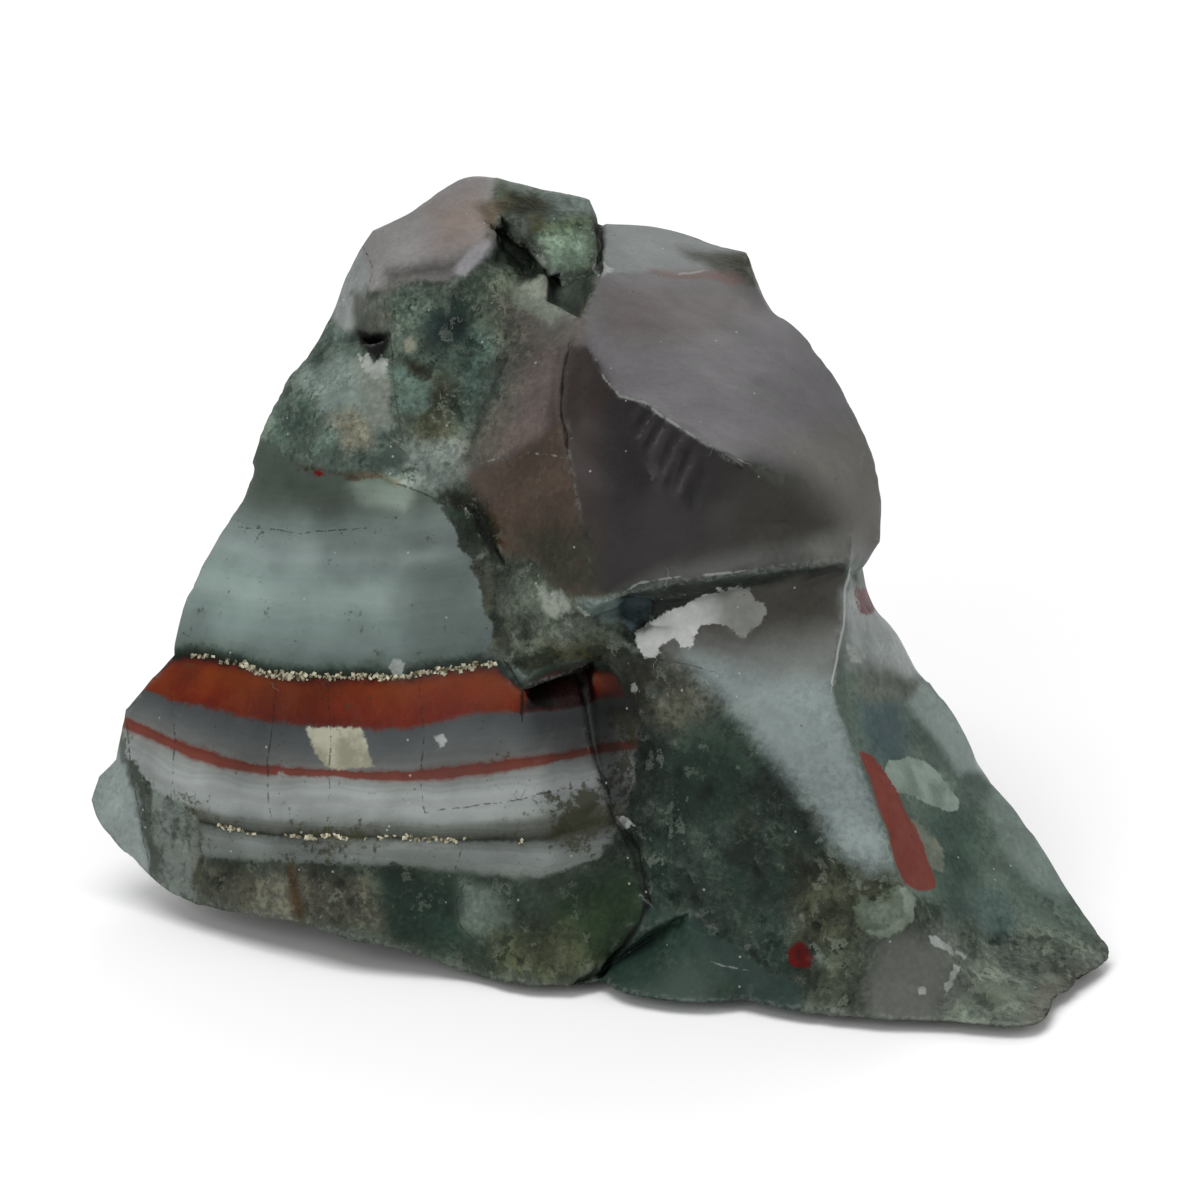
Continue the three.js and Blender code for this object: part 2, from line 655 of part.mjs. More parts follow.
// What each vertex touches: its neighbours, and the numbers of its faces.
function surroundings(triangles) {
  const around = vertices.map(() => ({ near: new Set(), faces: new Set() }));
  for (const { at, face } of triangles) {
    at.forEach((a, i) => {
      around[a].near.add(at[(i + 1) % 3]).add(at[(i + 2) % 3]);
      around[a].faces.add(face);
    });
  }
  return around;
}

// Evens out the triangles inside each face by drawing its vertices towards their neighbours.
function relax(triangles) {
  const around = surroundings(triangles);
  const moved = vertices.map((vertex, i) => {
    if (around[i].faces.size !== 1) return vertex;
    const middle = new THREE.Vector3();
    for (const n of around[i].near) middle.add(vertices[n]);
    middle.divideScalar(around[i].near.size);
    return vertex.clone().lerp(middle, RELAX_SHARE);
  });
  moved.forEach((place, i) => vertices[i].copy(place));
}

// Smooth random values on a lattice, from -1 to 1.
function lattice(i, j, k) {
  const n = Math.sin(i * SCATTER[0] + j * SCATTER[1] + k * SCATTER[2]) * SCATTER_GAIN;
  return 2 * (n - Math.floor(n)) - 1;
}

function noise(point, size) {
  const [x, y, z] = point.toArray().map((value) => value / size);
  const [i, j, k] = [x, y, z].map(Math.floor);
  const [u, v, w] = [x - i, y - j, z - k].map((t) => t * t * (3 - 2 * t));
  const mix = THREE.MathUtils.lerp;
  const row = (b, c) => mix(lattice(i, j + b, k + c), lattice(i + 1, j + b, k + c), u);
  return mix(mix(row(0, 0), row(1, 0), v), mix(row(0, 1), row(1, 1), v), w);
}

// Local lumps and hollows: the middle, the radius, and the height, which is negative in a hollow.
const reliefs = [
  { at: seen(1.5, -0.9, 6.4), radius: 1.1, height: -1.1 },
  { at: seen(-5.3, 3.3, 3), radius: 1.2, height: -0.9 },
  { at: seen(-1.5, -1.6, 6), radius: 1.6, height: 0.7 },
  { at: seen(14.2, -15.9, 10.6), radius: 1.5, height: 0.5 },
  { at: seen(-19.5, -12.5, 1), radius: 1.4, height: -0.5 },
  { at: seen(-7, 13.5, 0.4), radius: 2.2, height: -0.6 },
  { at: seen(-9.5, 8, 1), radius: 2, height: 0.4 },
  { at: seen(-12.5, 7.4, 0.4), radius: 1.2, height: 0.5 },
  { at: seen(9, -14.5, 9.4), radius: 2.4, height: -0.6 },
  { at: seen(5, -13, 8), radius: 1.8, height: 0.5 },
  { at: seen(-1.6, -10.6, 6.6), radius: 1.5, height: -0.5 },
  { at: new THREE.Vector3(-9, 15, 19), radius: 4.5, height: -1 },
  { at: new THREE.Vector3(8, 14.5, 17), radius: 5, height: -1.1 },
  { at: new THREE.Vector3(1, 17.5, 8), radius: 4, height: 0.8 },
  { at: new THREE.Vector3(-19, 8, 5), radius: 3, height: -0.8 },
];

function averageNormals(triangles) {
  const normals = vertices.map(() => new THREE.Vector3());
  for (const { at } of triangles) {
    const [a, b, c] = at.map((i) => vertices[i]);
    const turn = b.clone().sub(a).cross(c.clone().sub(a));
    for (const i of at) normals[i].add(turn);
  }
  return normals.map((normal) => normal.normalize());
}

// How far a point stands in from the nearest side of its face.
function inset(point, loop) {
  const side = new THREE.Line3();
  const foot = new THREE.Vector3();
  let least = Infinity;
  loop.forEach((name, i) => {
    side.set(corners.get(name), corners.get(loop[(i + 1) % loop.length]));
    side.closestPointToPoint(point, true, foot);
    least = Math.min(least, foot.distanceTo(point));
  });
  return least;
}

// Gives the flat net its crowned, dished and broken surface. The base stays flat.
function weather(triangles) {
  const around = surroundings(triangles);
  const normals = averageNormals(triangles);
  const places = vertices.map((vertex, i) => {
    if (vertex.z < ON_BASE) return vertex;
    const own = [...around[i].faces].map((n) => faces[n]);
    const rough = own.reduce((sum, face) => sum + face.rough, 0) / own.length;
    const swing = noise(vertex, COARSE_GRAIN) + FINE_SHARE * noise(vertex, FINE_GRAIN);
    let lift = rough * swing;
    if (own.length === 1) {
      const share = Math.min(1, inset(vertex, own[0].loop) / DISH_REACH);
      lift += own[0].crown * Math.sin((share * Math.PI) / 2);
    }
    for (const { at, radius, height } of reliefs) {
      lift += height * Math.exp(-((vertex.distanceTo(at) / radius) ** 2));
    }
    const place = vertex.clone().addScaledVector(normals[i], lift);
    return place.setZ(Math.max(place.z, Math.min(vertex.z, LOWEST_LUMP)));
  });
  places.forEach((place, i) => vertices[i].copy(place));
}

function stoneGeometry() {
  let triangles = faces.flatMap(firstTriangles);
  const unclosed = [...edgesOf(triangles)].filter(([, users]) => users.length !== 2);
  if (unclosed.length > 0) {
    const names = [...corners.keys()];
    const found = unclosed.map(([key]) => key.split("_").map((n) => names[n]).join(" to "));
    throw new Error("the faces don't close at " + found.join(", "));
  }
  for (let changed = true; changed;) {
    ({ divided: triangles, changed } = splitLongEdges(triangles));
    for (let turns = 0; turns < TURNS_PER_ROUND; turns += 1) turnEdges(triangles);
    relax(triangles);
  }
  relax(triangles);
  weather(triangles);
  const geometry = new THREE.BufferGeometry().setFromPoints(vertices);
  geometry.setIndex(triangles.flatMap((triangle) => triangle.at));
  return geometry.toNonIndexed();
}

const geometry = stoneGeometry();
geometry.computeVertexNormals();
geometry.computeBoundingBox();
const middle = geometry.boundingBox.getCenter(new THREE.Vector3());

const stone = new THREE.Mesh(
  geometry,
  new THREE.MeshStandardMaterial({ color: 0x5f6f69, roughness: 0.5, metalness: 0, flatShading: true }),
);
stone.name = "bloodstone";
stone.position.set(-middle.x, -middle.y, 0);

const part = new THREE.Group();
part.add(stone);
export default part;
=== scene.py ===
import math
import bpy
import numpy as np
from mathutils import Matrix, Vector
from mathutils.bvhtree import BVHTree


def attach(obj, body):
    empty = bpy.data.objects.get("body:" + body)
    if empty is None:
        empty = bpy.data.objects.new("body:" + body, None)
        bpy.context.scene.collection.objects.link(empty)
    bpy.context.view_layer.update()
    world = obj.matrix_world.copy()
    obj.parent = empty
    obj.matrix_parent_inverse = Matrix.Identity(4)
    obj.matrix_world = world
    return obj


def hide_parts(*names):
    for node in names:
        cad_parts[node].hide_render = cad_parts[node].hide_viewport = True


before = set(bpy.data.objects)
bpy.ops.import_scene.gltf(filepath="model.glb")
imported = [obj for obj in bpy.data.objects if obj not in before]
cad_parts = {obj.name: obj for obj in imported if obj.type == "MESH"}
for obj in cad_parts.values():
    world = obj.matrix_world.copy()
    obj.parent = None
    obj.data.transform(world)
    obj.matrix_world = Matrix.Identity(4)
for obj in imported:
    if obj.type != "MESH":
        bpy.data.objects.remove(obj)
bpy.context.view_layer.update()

MM = 0.001
VIEW_TILT = math.radians(20)
VIEW_DISTANCE = 300.0
VIEW_AIM = np.array([0.3335, -0.2531, 15.9])
TOWARDS = np.array([0.0, -math.cos(VIEW_TILT), math.sin(VIEW_TILT)])
UPWARDS = np.array([0.0, math.sin(VIEW_TILT), math.cos(VIEW_TILT)])

camera = bpy.data.objects.new("camera", bpy.data.cameras.new("camera"))
camera.data.lens = 180
camera.data.sensor_width = 36
camera.data.clip_start = 0.01
camera.data.clip_end = 10
camera.location = (VIEW_AIM + TOWARDS * VIEW_DISTANCE) * MM
camera.rotation_euler = Vector(-TOWARDS).to_track_quat("-Z", "Y").to_euler()
bpy.context.scene.collection.objects.link(camera)
bpy.context.scene.camera = camera


# The bloodstone: one rough lump of banded jasper and chalcedony, broken out of the rock, with
# dished fracture faces, a raw mossy matrix and a pale crust. The solid gives its faces; here they
# are divided finely, smoothed between their sharp edges, and given their grain, cracks and colours.
FRONT_EDGE = 0.27
BACK_EDGE = 0.52
SHARP_TURN = math.radians(27)
# How far each round of smoothing moves a point, and what share of that a point on a sharp edge.
EASING = 0.5
EDGE_EASING = 0.35
# A face that leans no further away from the viewer than this counts as a front face.
FRONT_LEAN = -0.02
# A point lower than this lies on the flat base, and no other point comes lower than the second.
ON_BASE = 0.02
OFF_BASE = 0.05
# Where the solid's creases are worn away: the middle and half the size of each place. There the
# ridge across the dome fades out on its right, and so does the crease below it.
WORN = [((10.2, 5.9), (2.6, 1.6)), ((2.6, 3.6), (0.8, 2.7))]


def view_places(points):
    """Where points lie in the front view: right, up and near, in mm, as the solid's corners are given."""
    offset = points - VIEW_AIM
    near = offset @ TOWARDS
    shrink = 1 - near / VIEW_DISTANCE
    return offset[:, 0] / shrink, offset @ UPWARDS / shrink, near


def sides_of(faces):
    """Each side of the triangles once, and which three sides each triangle has."""
    pairs = np.sort(np.stack([faces, np.roll(faces, -1, 1)], 2), 2).reshape(-1, 2)
    sides, which = np.unique(pairs, axis=0, return_inverse=True)
    return sides, which.reshape(-1, 3)


def turns_of(points, faces):
    """Each triangle's normal, as long as twice its area."""
    a, b, c = (points[faces[:, i]] for i in range(3))
    return np.cross(b - a, c - a)


def unit(arrows):
    return arrows / np.maximum(np.linalg.norm(arrows, axis=1, keepdims=True), 1e-12)


def sharp_sides(points, faces):
    """The sides where two triangles meet at a sharp turn."""
    sides, which = sides_of(faces)
    order = np.argsort(which.ravel(), kind="stable").reshape(-1, 2) // 3
    turns = unit(turns_of(points, faces))
    cosine = np.sum(turns[order[:, 0]] * turns[order[:, 1]], axis=1)
    return sides[cosine < math.cos(SHARP_TURN)]


def divide(points, faces, sharp, front_limit, back_limit):
    """Cuts each side that is too long in two, and divides the triangles on it to match."""
    sides, which = sides_of(faces)
    turns = unit(turns_of(points, faces))
    facing = np.full(len(sides), -1.0)
    np.maximum.at(facing, which.ravel(), np.repeat(turns @ TOWARDS, 3))
    limit = np.where(facing > FRONT_LEAN, front_limit, back_limit)
    middle = (points[sides[:, 0]] + points[sides[:, 1]]) / 2
    limit[middle[:, 2] < ON_BASE] = back_limit * 2
    cut = np.linalg.norm(points[sides[:, 0]] - points[sides[:, 1]], axis=1) > limit
    number = np.full(len(sides), -1)
    number[cut] = len(points) + np.arange(cut.sum())
    points = np.vstack([points, middle[cut]])
    span = len(points)
    at = np.searchsorted(sides[:, 0] * span + sides[:, 1], sharp[:, 0] * span + sharp[:, 1])
    halved = cut[at]
    halves = [np.stack([sharp[halved, end], number[at[halved]]], 1) for end in (0, 1)]
    sharp = np.vstack([sharp[~halved], *halves])
    # Each triangle is turned so that its cut sides come first, and then divided by their count.
    cuts = number[which]
    count = (cuts >= 0).sum(1)
    start = np.zeros(len(faces), int)
    start[count == 1] = np.argmax(cuts[count == 1] >= 0, axis=1)
    start[count == 2] = (np.argmax(cuts[count == 2] < 0, axis=1) + 1) % 3
    turn = (start[:, None] + np.arange(3)) % 3
    named = np.hstack([np.take_along_axis(faces, turn, 1), np.take_along_axis(cuts, turn, 1)])
    divided = [named[count == 0, :3]]
    # Corners are numbered 0 to 2, and the middles of the sides after them 3 to 5.
    for cut_sides, parts in (
        (1, [(0, 3, 2), (3, 1, 2)]),
        (2, [(3, 1, 4), (0, 3, 4), (0, 4, 2)]),
        (3, [(0, 3, 5), (3, 1, 4), (5, 4, 2), (3, 4, 5)]),
    ):
        divided += [named[count == cut_sides][:, part] for part in parts]
    return points, np.vstack(divided), sharp, bool(cut.any())


def neighbour_means(points, pairs):
    """The mean place of each point's neighbours along the given pairs, and how many it has."""
    total = np.zeros_like(points)
    count = np.zeros(len(points))
    for a, b in ((0, 1), (1, 0)):
        for axis in range(points.shape[1]):
            total[:, axis] += np.bincount(pairs[:, a], points[pairs[:, b], axis], len(points))
        count += np.bincount(pairs[:, a], minlength=len(points))
    return total / np.maximum(count, 1)[:, None], count


def ease(points, faces, sharp, rounds):
    """Smooths the surface between its sharp sides, and those less and only along themselves."""
    sides, _ = sides_of(faces)
    for _ in range(rounds):
        mean, _ = neighbour_means(points, sides)
        along, count = neighbour_means(points, sharp)
        moved = points + (mean - points) * EASING
        edge = count > 0
        moved[edge] = points[edge]
        run = count == 2
        moved[run] = points[run] + (along[run] - points[run]) * EASING * EDGE_EASING
        moved[:, 2] = np.where(points[:, 2] < ON_BASE, points[:, 2], np.maximum(moved[:, 2], OFF_BASE))
        points = moved
    return points


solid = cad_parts["bloodstone"].data
corner_places = np.zeros(len(solid.vertices) * 3, np.float32)
solid.vertices.foreach_get("co", corner_places)
corner_places = corner_places.reshape(-1, 3).astype(float) / MM
corner_numbers = np.zeros(len(solid.loops), np.int32)
solid.loops.foreach_get("vertex_index", corner_numbers)
_, first, merged = np.unique(np.round(corner_places, 3), axis=0, return_index=True, return_inverse=True)
points = corner_places[first]
faces = merged.ravel()[corner_numbers].reshape(-1, 3).astype(np.int64)
sharp = sharp_sides(points, faces)
middles = np.stack(view_places(points[sharp].mean(1))[:2], 1)
for middle, half_size in WORN:
    kept = np.any(np.abs(middles - middle) >= half_size, axis=1)
    sharp, middles = sharp[kept], middles[kept]
points = ease(points, faces, sharp, 2)
for limit in (1.2, 0.7, 0.4, 0.3, 0.25):
    changed = True
    while changed:
        front_limit = max(FRONT_EDGE, limit)
        points, faces, sharp, changed = divide(points, faces, sharp, front_limit, max(BACK_EDGE, limit))
    points = ease(points, faces, sharp, 3)


def point_normals(points, faces):
    turns = turns_of(points, faces)
    total = np.zeros_like(points)
    for i in range(3):
        for axis in range(3):
            total[:, axis] += np.bincount(faces[:, i], turns[:, axis], len(points))
    return unit(total)


# The random lattice is skewed, so that its rows don't show, and large odd numbers scatter its values.
SKEW = np.array([[0.8, -0.36, 0.48], [0.6, 0.48, -0.64], [0.0, 0.8, 0.6]])
SCATTER = np.array([73856093, 19349663, 83492791])
SEED_SCATTER = 2654435761
SEED_SHIFT = 17.31
FIRST_MIX = 1274126177
SECOND_MIX = 668265263


def lumps(places, size, seed):
    """Smooth random values from -1 to 1, whose lumps are about as large as size, in mm."""
    scaled = places @ SKEW / size + seed * SEED_SHIFT
    cell = np.floor(scaled).astype(np.int64)
    part = scaled - cell
    part = part * part * (3 - 2 * part)
    total = np.zeros(len(places))
    for corner in range(8):
        step = np.array([corner & 1, corner >> 1 & 1, corner >> 2 & 1])
        mixed = (cell + step) @ SCATTER ^ (seed * SEED_SCATTER)
        mixed = (mixed ^ (mixed >> 13)) * FIRST_MIX & 0x7FFFFFFF
        mixed = (mixed ^ (mixed >> 15)) * SECOND_MIX & 0x7FFFFFFF
        value = ((mixed ^ (mixed >> 11)) & 0xFFFF) / 32767.5 - 1
        total += value * np.prod(np.where(step, part, 1 - part), axis=1)
    return total


def many_lumps(places, size, seed, layers=3):
    """Lumps with finer ones on them."""
    total = sum(lumps(places, size / 2**i, seed + i) / 2**i for i in range(layers))
    return total / (2 - 2 ** (1 - layers))


def step_up(value, low, high):
    """A smooth step from 0 at low to 1 at high."""
    share = np.clip((value - low) / (high - low), 0, 1)
    return share * share * (3 - 2 * share)


# How deep each point lies behind the front face. The bands and patches of the front run into the
# stone, and wander as they go, so that the back shows the same rock in another pattern.
WANDER_ACROSS = 7
WANDER_UP = 5
DIP = 0.32
normals = point_normals(points, faces)
right, up, near = view_places(points)
tree = BVHTree.FromPolygons([Vector(p) for p in points], faces.tolist())
eye = Vector(VIEW_AIM + TOWARDS * VIEW_DISTANCE)
depth = np.zeros(len(points))
for i in np.nonzero(normals @ TOWARDS < 0.25)[0]:
    ray = Vector(points[i]) - eye
    hit, _, _, far = tree.ray_cast(eye, ray.normalized(), ray.length)
    if hit is not None:
        depth[i] = max(0, ray.length - far - 0.05)
inner = step_up(depth, 1.5, 11)
across = right + inner * WANDER_ACROSS * many_lumps(points, 13, 3)
height = up - DIP * depth + inner * WANDER_UP * many_lumps(points, 11, 5)
front = 1 - step_up(depth + 0.8 * lumps(points, 1.5, 8), 0.6, 3.0)
# The same places, moved about a little, so that what is drawn on them has a wavy or a torn edge.
ragged = np.stack([many_lumps(points, 1.6, seed) for seed in (11, 12)], 1)
shreds = np.stack([many_lumps(points, 2.4, seed, 4) for seed in (13, 14)], 1)
drawn = np.stack([across, height], 1)
wavy = drawn + 0.22 * ragged
torn = drawn + 0.75 * shreds


# Outlines and lines of the front view are lists of right, up, right, up and so on, in mm.
def legs(corners, places):
    """For each leg between corners: its run, and from its start and from it, how far places lie."""
    for start, end in zip(corners[:-1], corners[1:]):
        run = end - start
        off = places - start
        share = np.clip(off @ run / max(run @ run, 1e-9), 0, 1)
        yield start, end, off, np.hypot(*(off - share[:, None] * run).T)


def inside(outline, places=wavy):
    """How far inside an outline places lie, in mm. Outside it is less than 0."""
    ring = np.reshape(outline, (-1, 2)).astype(float)
    best = np.full(len(places), 1e9)
    within = np.zeros(len(places), bool)
    for start, end, off, away in legs(np.vstack([ring, ring[:1]]), places):
        best = np.minimum(best, away)
        crosses = (start[1] > places[:, 1]) != (end[1] > places[:, 1])
        with np.errstate(divide="ignore", invalid="ignore"):
            reach = start[0] + off[:, 1] * (end[0] - start[0]) / (end[1] - start[1])
        within ^= crosses & (places[:, 0] < reach)
    return np.where(within, best, -best)


def beside(line, places):
    """How far places lie from a line, in mm, with a sign for the side."""
    best = np.full(len(places), 1e9)
    signed = np.full(len(places), 1e9)
    for start, end, off, away in legs(np.reshape(line, (-1, 2)).astype(float), places):
        side = np.sign((end[0] - start[0]) * off[:, 1] - (end[1] - start[1]) * off[:, 0])
        closer = away < best
        signed[closer] = (away * side)[closer]
        best = np.minimum(best, away)
    return signed


# The bands: their edges across the front, from the top of the red jasper down. The layer number is
# 0 along the first edge, 1 along the second and so on, and runs on above and below them.
BAND_EDGES = [
    [-24, -4.7, -22.55, -4, -22, -3.55, -21.45, -2.95, -20.05, -2.9, -18.95, -3.1, -17.8, -3.35, -16.9, -3.7,
     -15.8, -3.85, -14.5, -3.9, -12.05, -3.9, -10, -3.95, -8.9, -3.7, -7.95, -3.55, -7.05, -3.5, -6.1, -3.35,
     -5.1, -3.4, -4.35, -4.2, -3.8, -4.5, -2.75, -3.85, -1.1, -3.35, 0, -3.6, 2, -3.6],
    [-24, -4.3, -22.55, -4.55, -21.35, -5, -20.05, -5.3, -18.95, -5.55, -18, -5.85, -16.9, -6, -15.95, -6.2,
     -14.85, -6.35, -13, -6.4, -11.15, -6.5, -9.85, -6.5, -8.55, -6.2, -7.4, -5.95, -5.55, -5.7, -3.9, -5.65,
     -2.95, -5.55, -1.85, -5.45, -1, -5.25, 0, -4.9, 2, -4.7],
    [-24, -5.75, -23.4, -6.05, -22, -6.7, -20.45, -7.35, -18.95, -7.8, -17.1, -8.25, -15.6, -8.45, -13.35,
     -8.55, -11.15, -8.6, -9.25, -8.6, -7.4, -8.35, -5.55, -8.2, -3.7, -7.9, -2.05, -7.7, -1.1, -7.55, 0,
     -7.25, 2, -7.05],
    [-24, -6.45, -23.4, -6.7, -22, -7.3, -20.45, -8, -18.95, -8.45, -17.1, -8.75, -15.6, -8.85, -13, -8.9,
     -10.2, -9.1, -8.35, -9.1, -6.5, -8.9, -4.65, -8.65, -2.75, -8.25, -1.85, -8, -0.35, -7.75, 2, -7.5],
    [-24, -9.25, -22.5, -9.6, -21.55, -10.05, -19.85, -10.4, -18.2, -10.8, -16.35, -10.95, -13, -11.15, -10,
     -11.05, -8.35, -11.15, -5.55, -11, -2.75, -10.6, 0, -10, 2, -9.75],
    [-24, -10, -22.5, -10.6, -19.85, -11.2, -17.1, -11.8, -13, -11.9, -10, -11.9, -6.5, -12.1, -2.75, -12.1,
     -0.5, -11.5, 2, -11],
    [-24, -12.25, -22.5, -12.5, -20, -12.9, -15, -13.2, -10, -13.3, -6.5, -13.6, -5, -13.9, -3, -13.9, -0.5,
     -13.1, 2, -12.5],
]
LAYER_RISE = 2.5
edge_heights = [np.interp(across, edge[::2], edge[1::2]) for edge in BAND_EDGES]
layer_height = height + 0.07 * many_lumps(points, 1.3, 21) + 0.05 * lumps(points, 0.45, 22)
layer = -(layer_height - edge_heights[0]) / LAYER_RISE
for number, (top, bottom) in enumerate(zip(edge_heights[:-1], edge_heights[1:])):
    within = (layer_height <= top) & (layer_height > bottom)
    layer[within] = number + ((top - layer_height) / (top - bottom))[within]
below = layer_height <= edge_heights[-1]
layer[below] = len(edge_heights) - 1 + ((edge_heights[-1] - layer_height) / LAYER_RISE)[below]
banded = inside([
    -16.9, 8, -15, 6.5, -11.5, 6.1, -9, 5.6, -7.9, 4.75, -7.25, 3.5, -6.75, 2.25, -6, 1.25, -5.75, 0, -5.25,
    -1.25, -5.4, -2.5, -4.75, -3.2, -3.5, -3.7, -2, -3.2, 0.3, -3.1, 1.4, -4.5, 1.9, -6.5, 1.8, -9, 1.2,
    -10.6, 0.6, -12.3, -0.5, -13.2, -3, -14, -5, -14.05, -10, -13.4, -15, -13.3, -20, -13, -19.85, -11.8,
    -20.4, -10.4, -22, -9.4, -23, -8.4, -23.6, -7.25, -24.1, -5.6, -27, -2, -20, 8
])

# The patches: the rock's other parts, each with its colour, how soft its edge is in mm, how raw its
# break is, from 0 for glassy to 1 for mossy, and its outline in the front view.
SHEEN = 0.007


def hue(red, green, blue):
    """A colour as it looks in soft light, less the sheen that the surface adds to it."""
    share = np.array([red, green, blue]) / 255
    seen = np.where(share <= 0.04045, share / 12.92, ((share + 0.055) / 1.055) ** 2.4)
    return np.maximum(0.82 * seen - SHEEN, 0.0008)


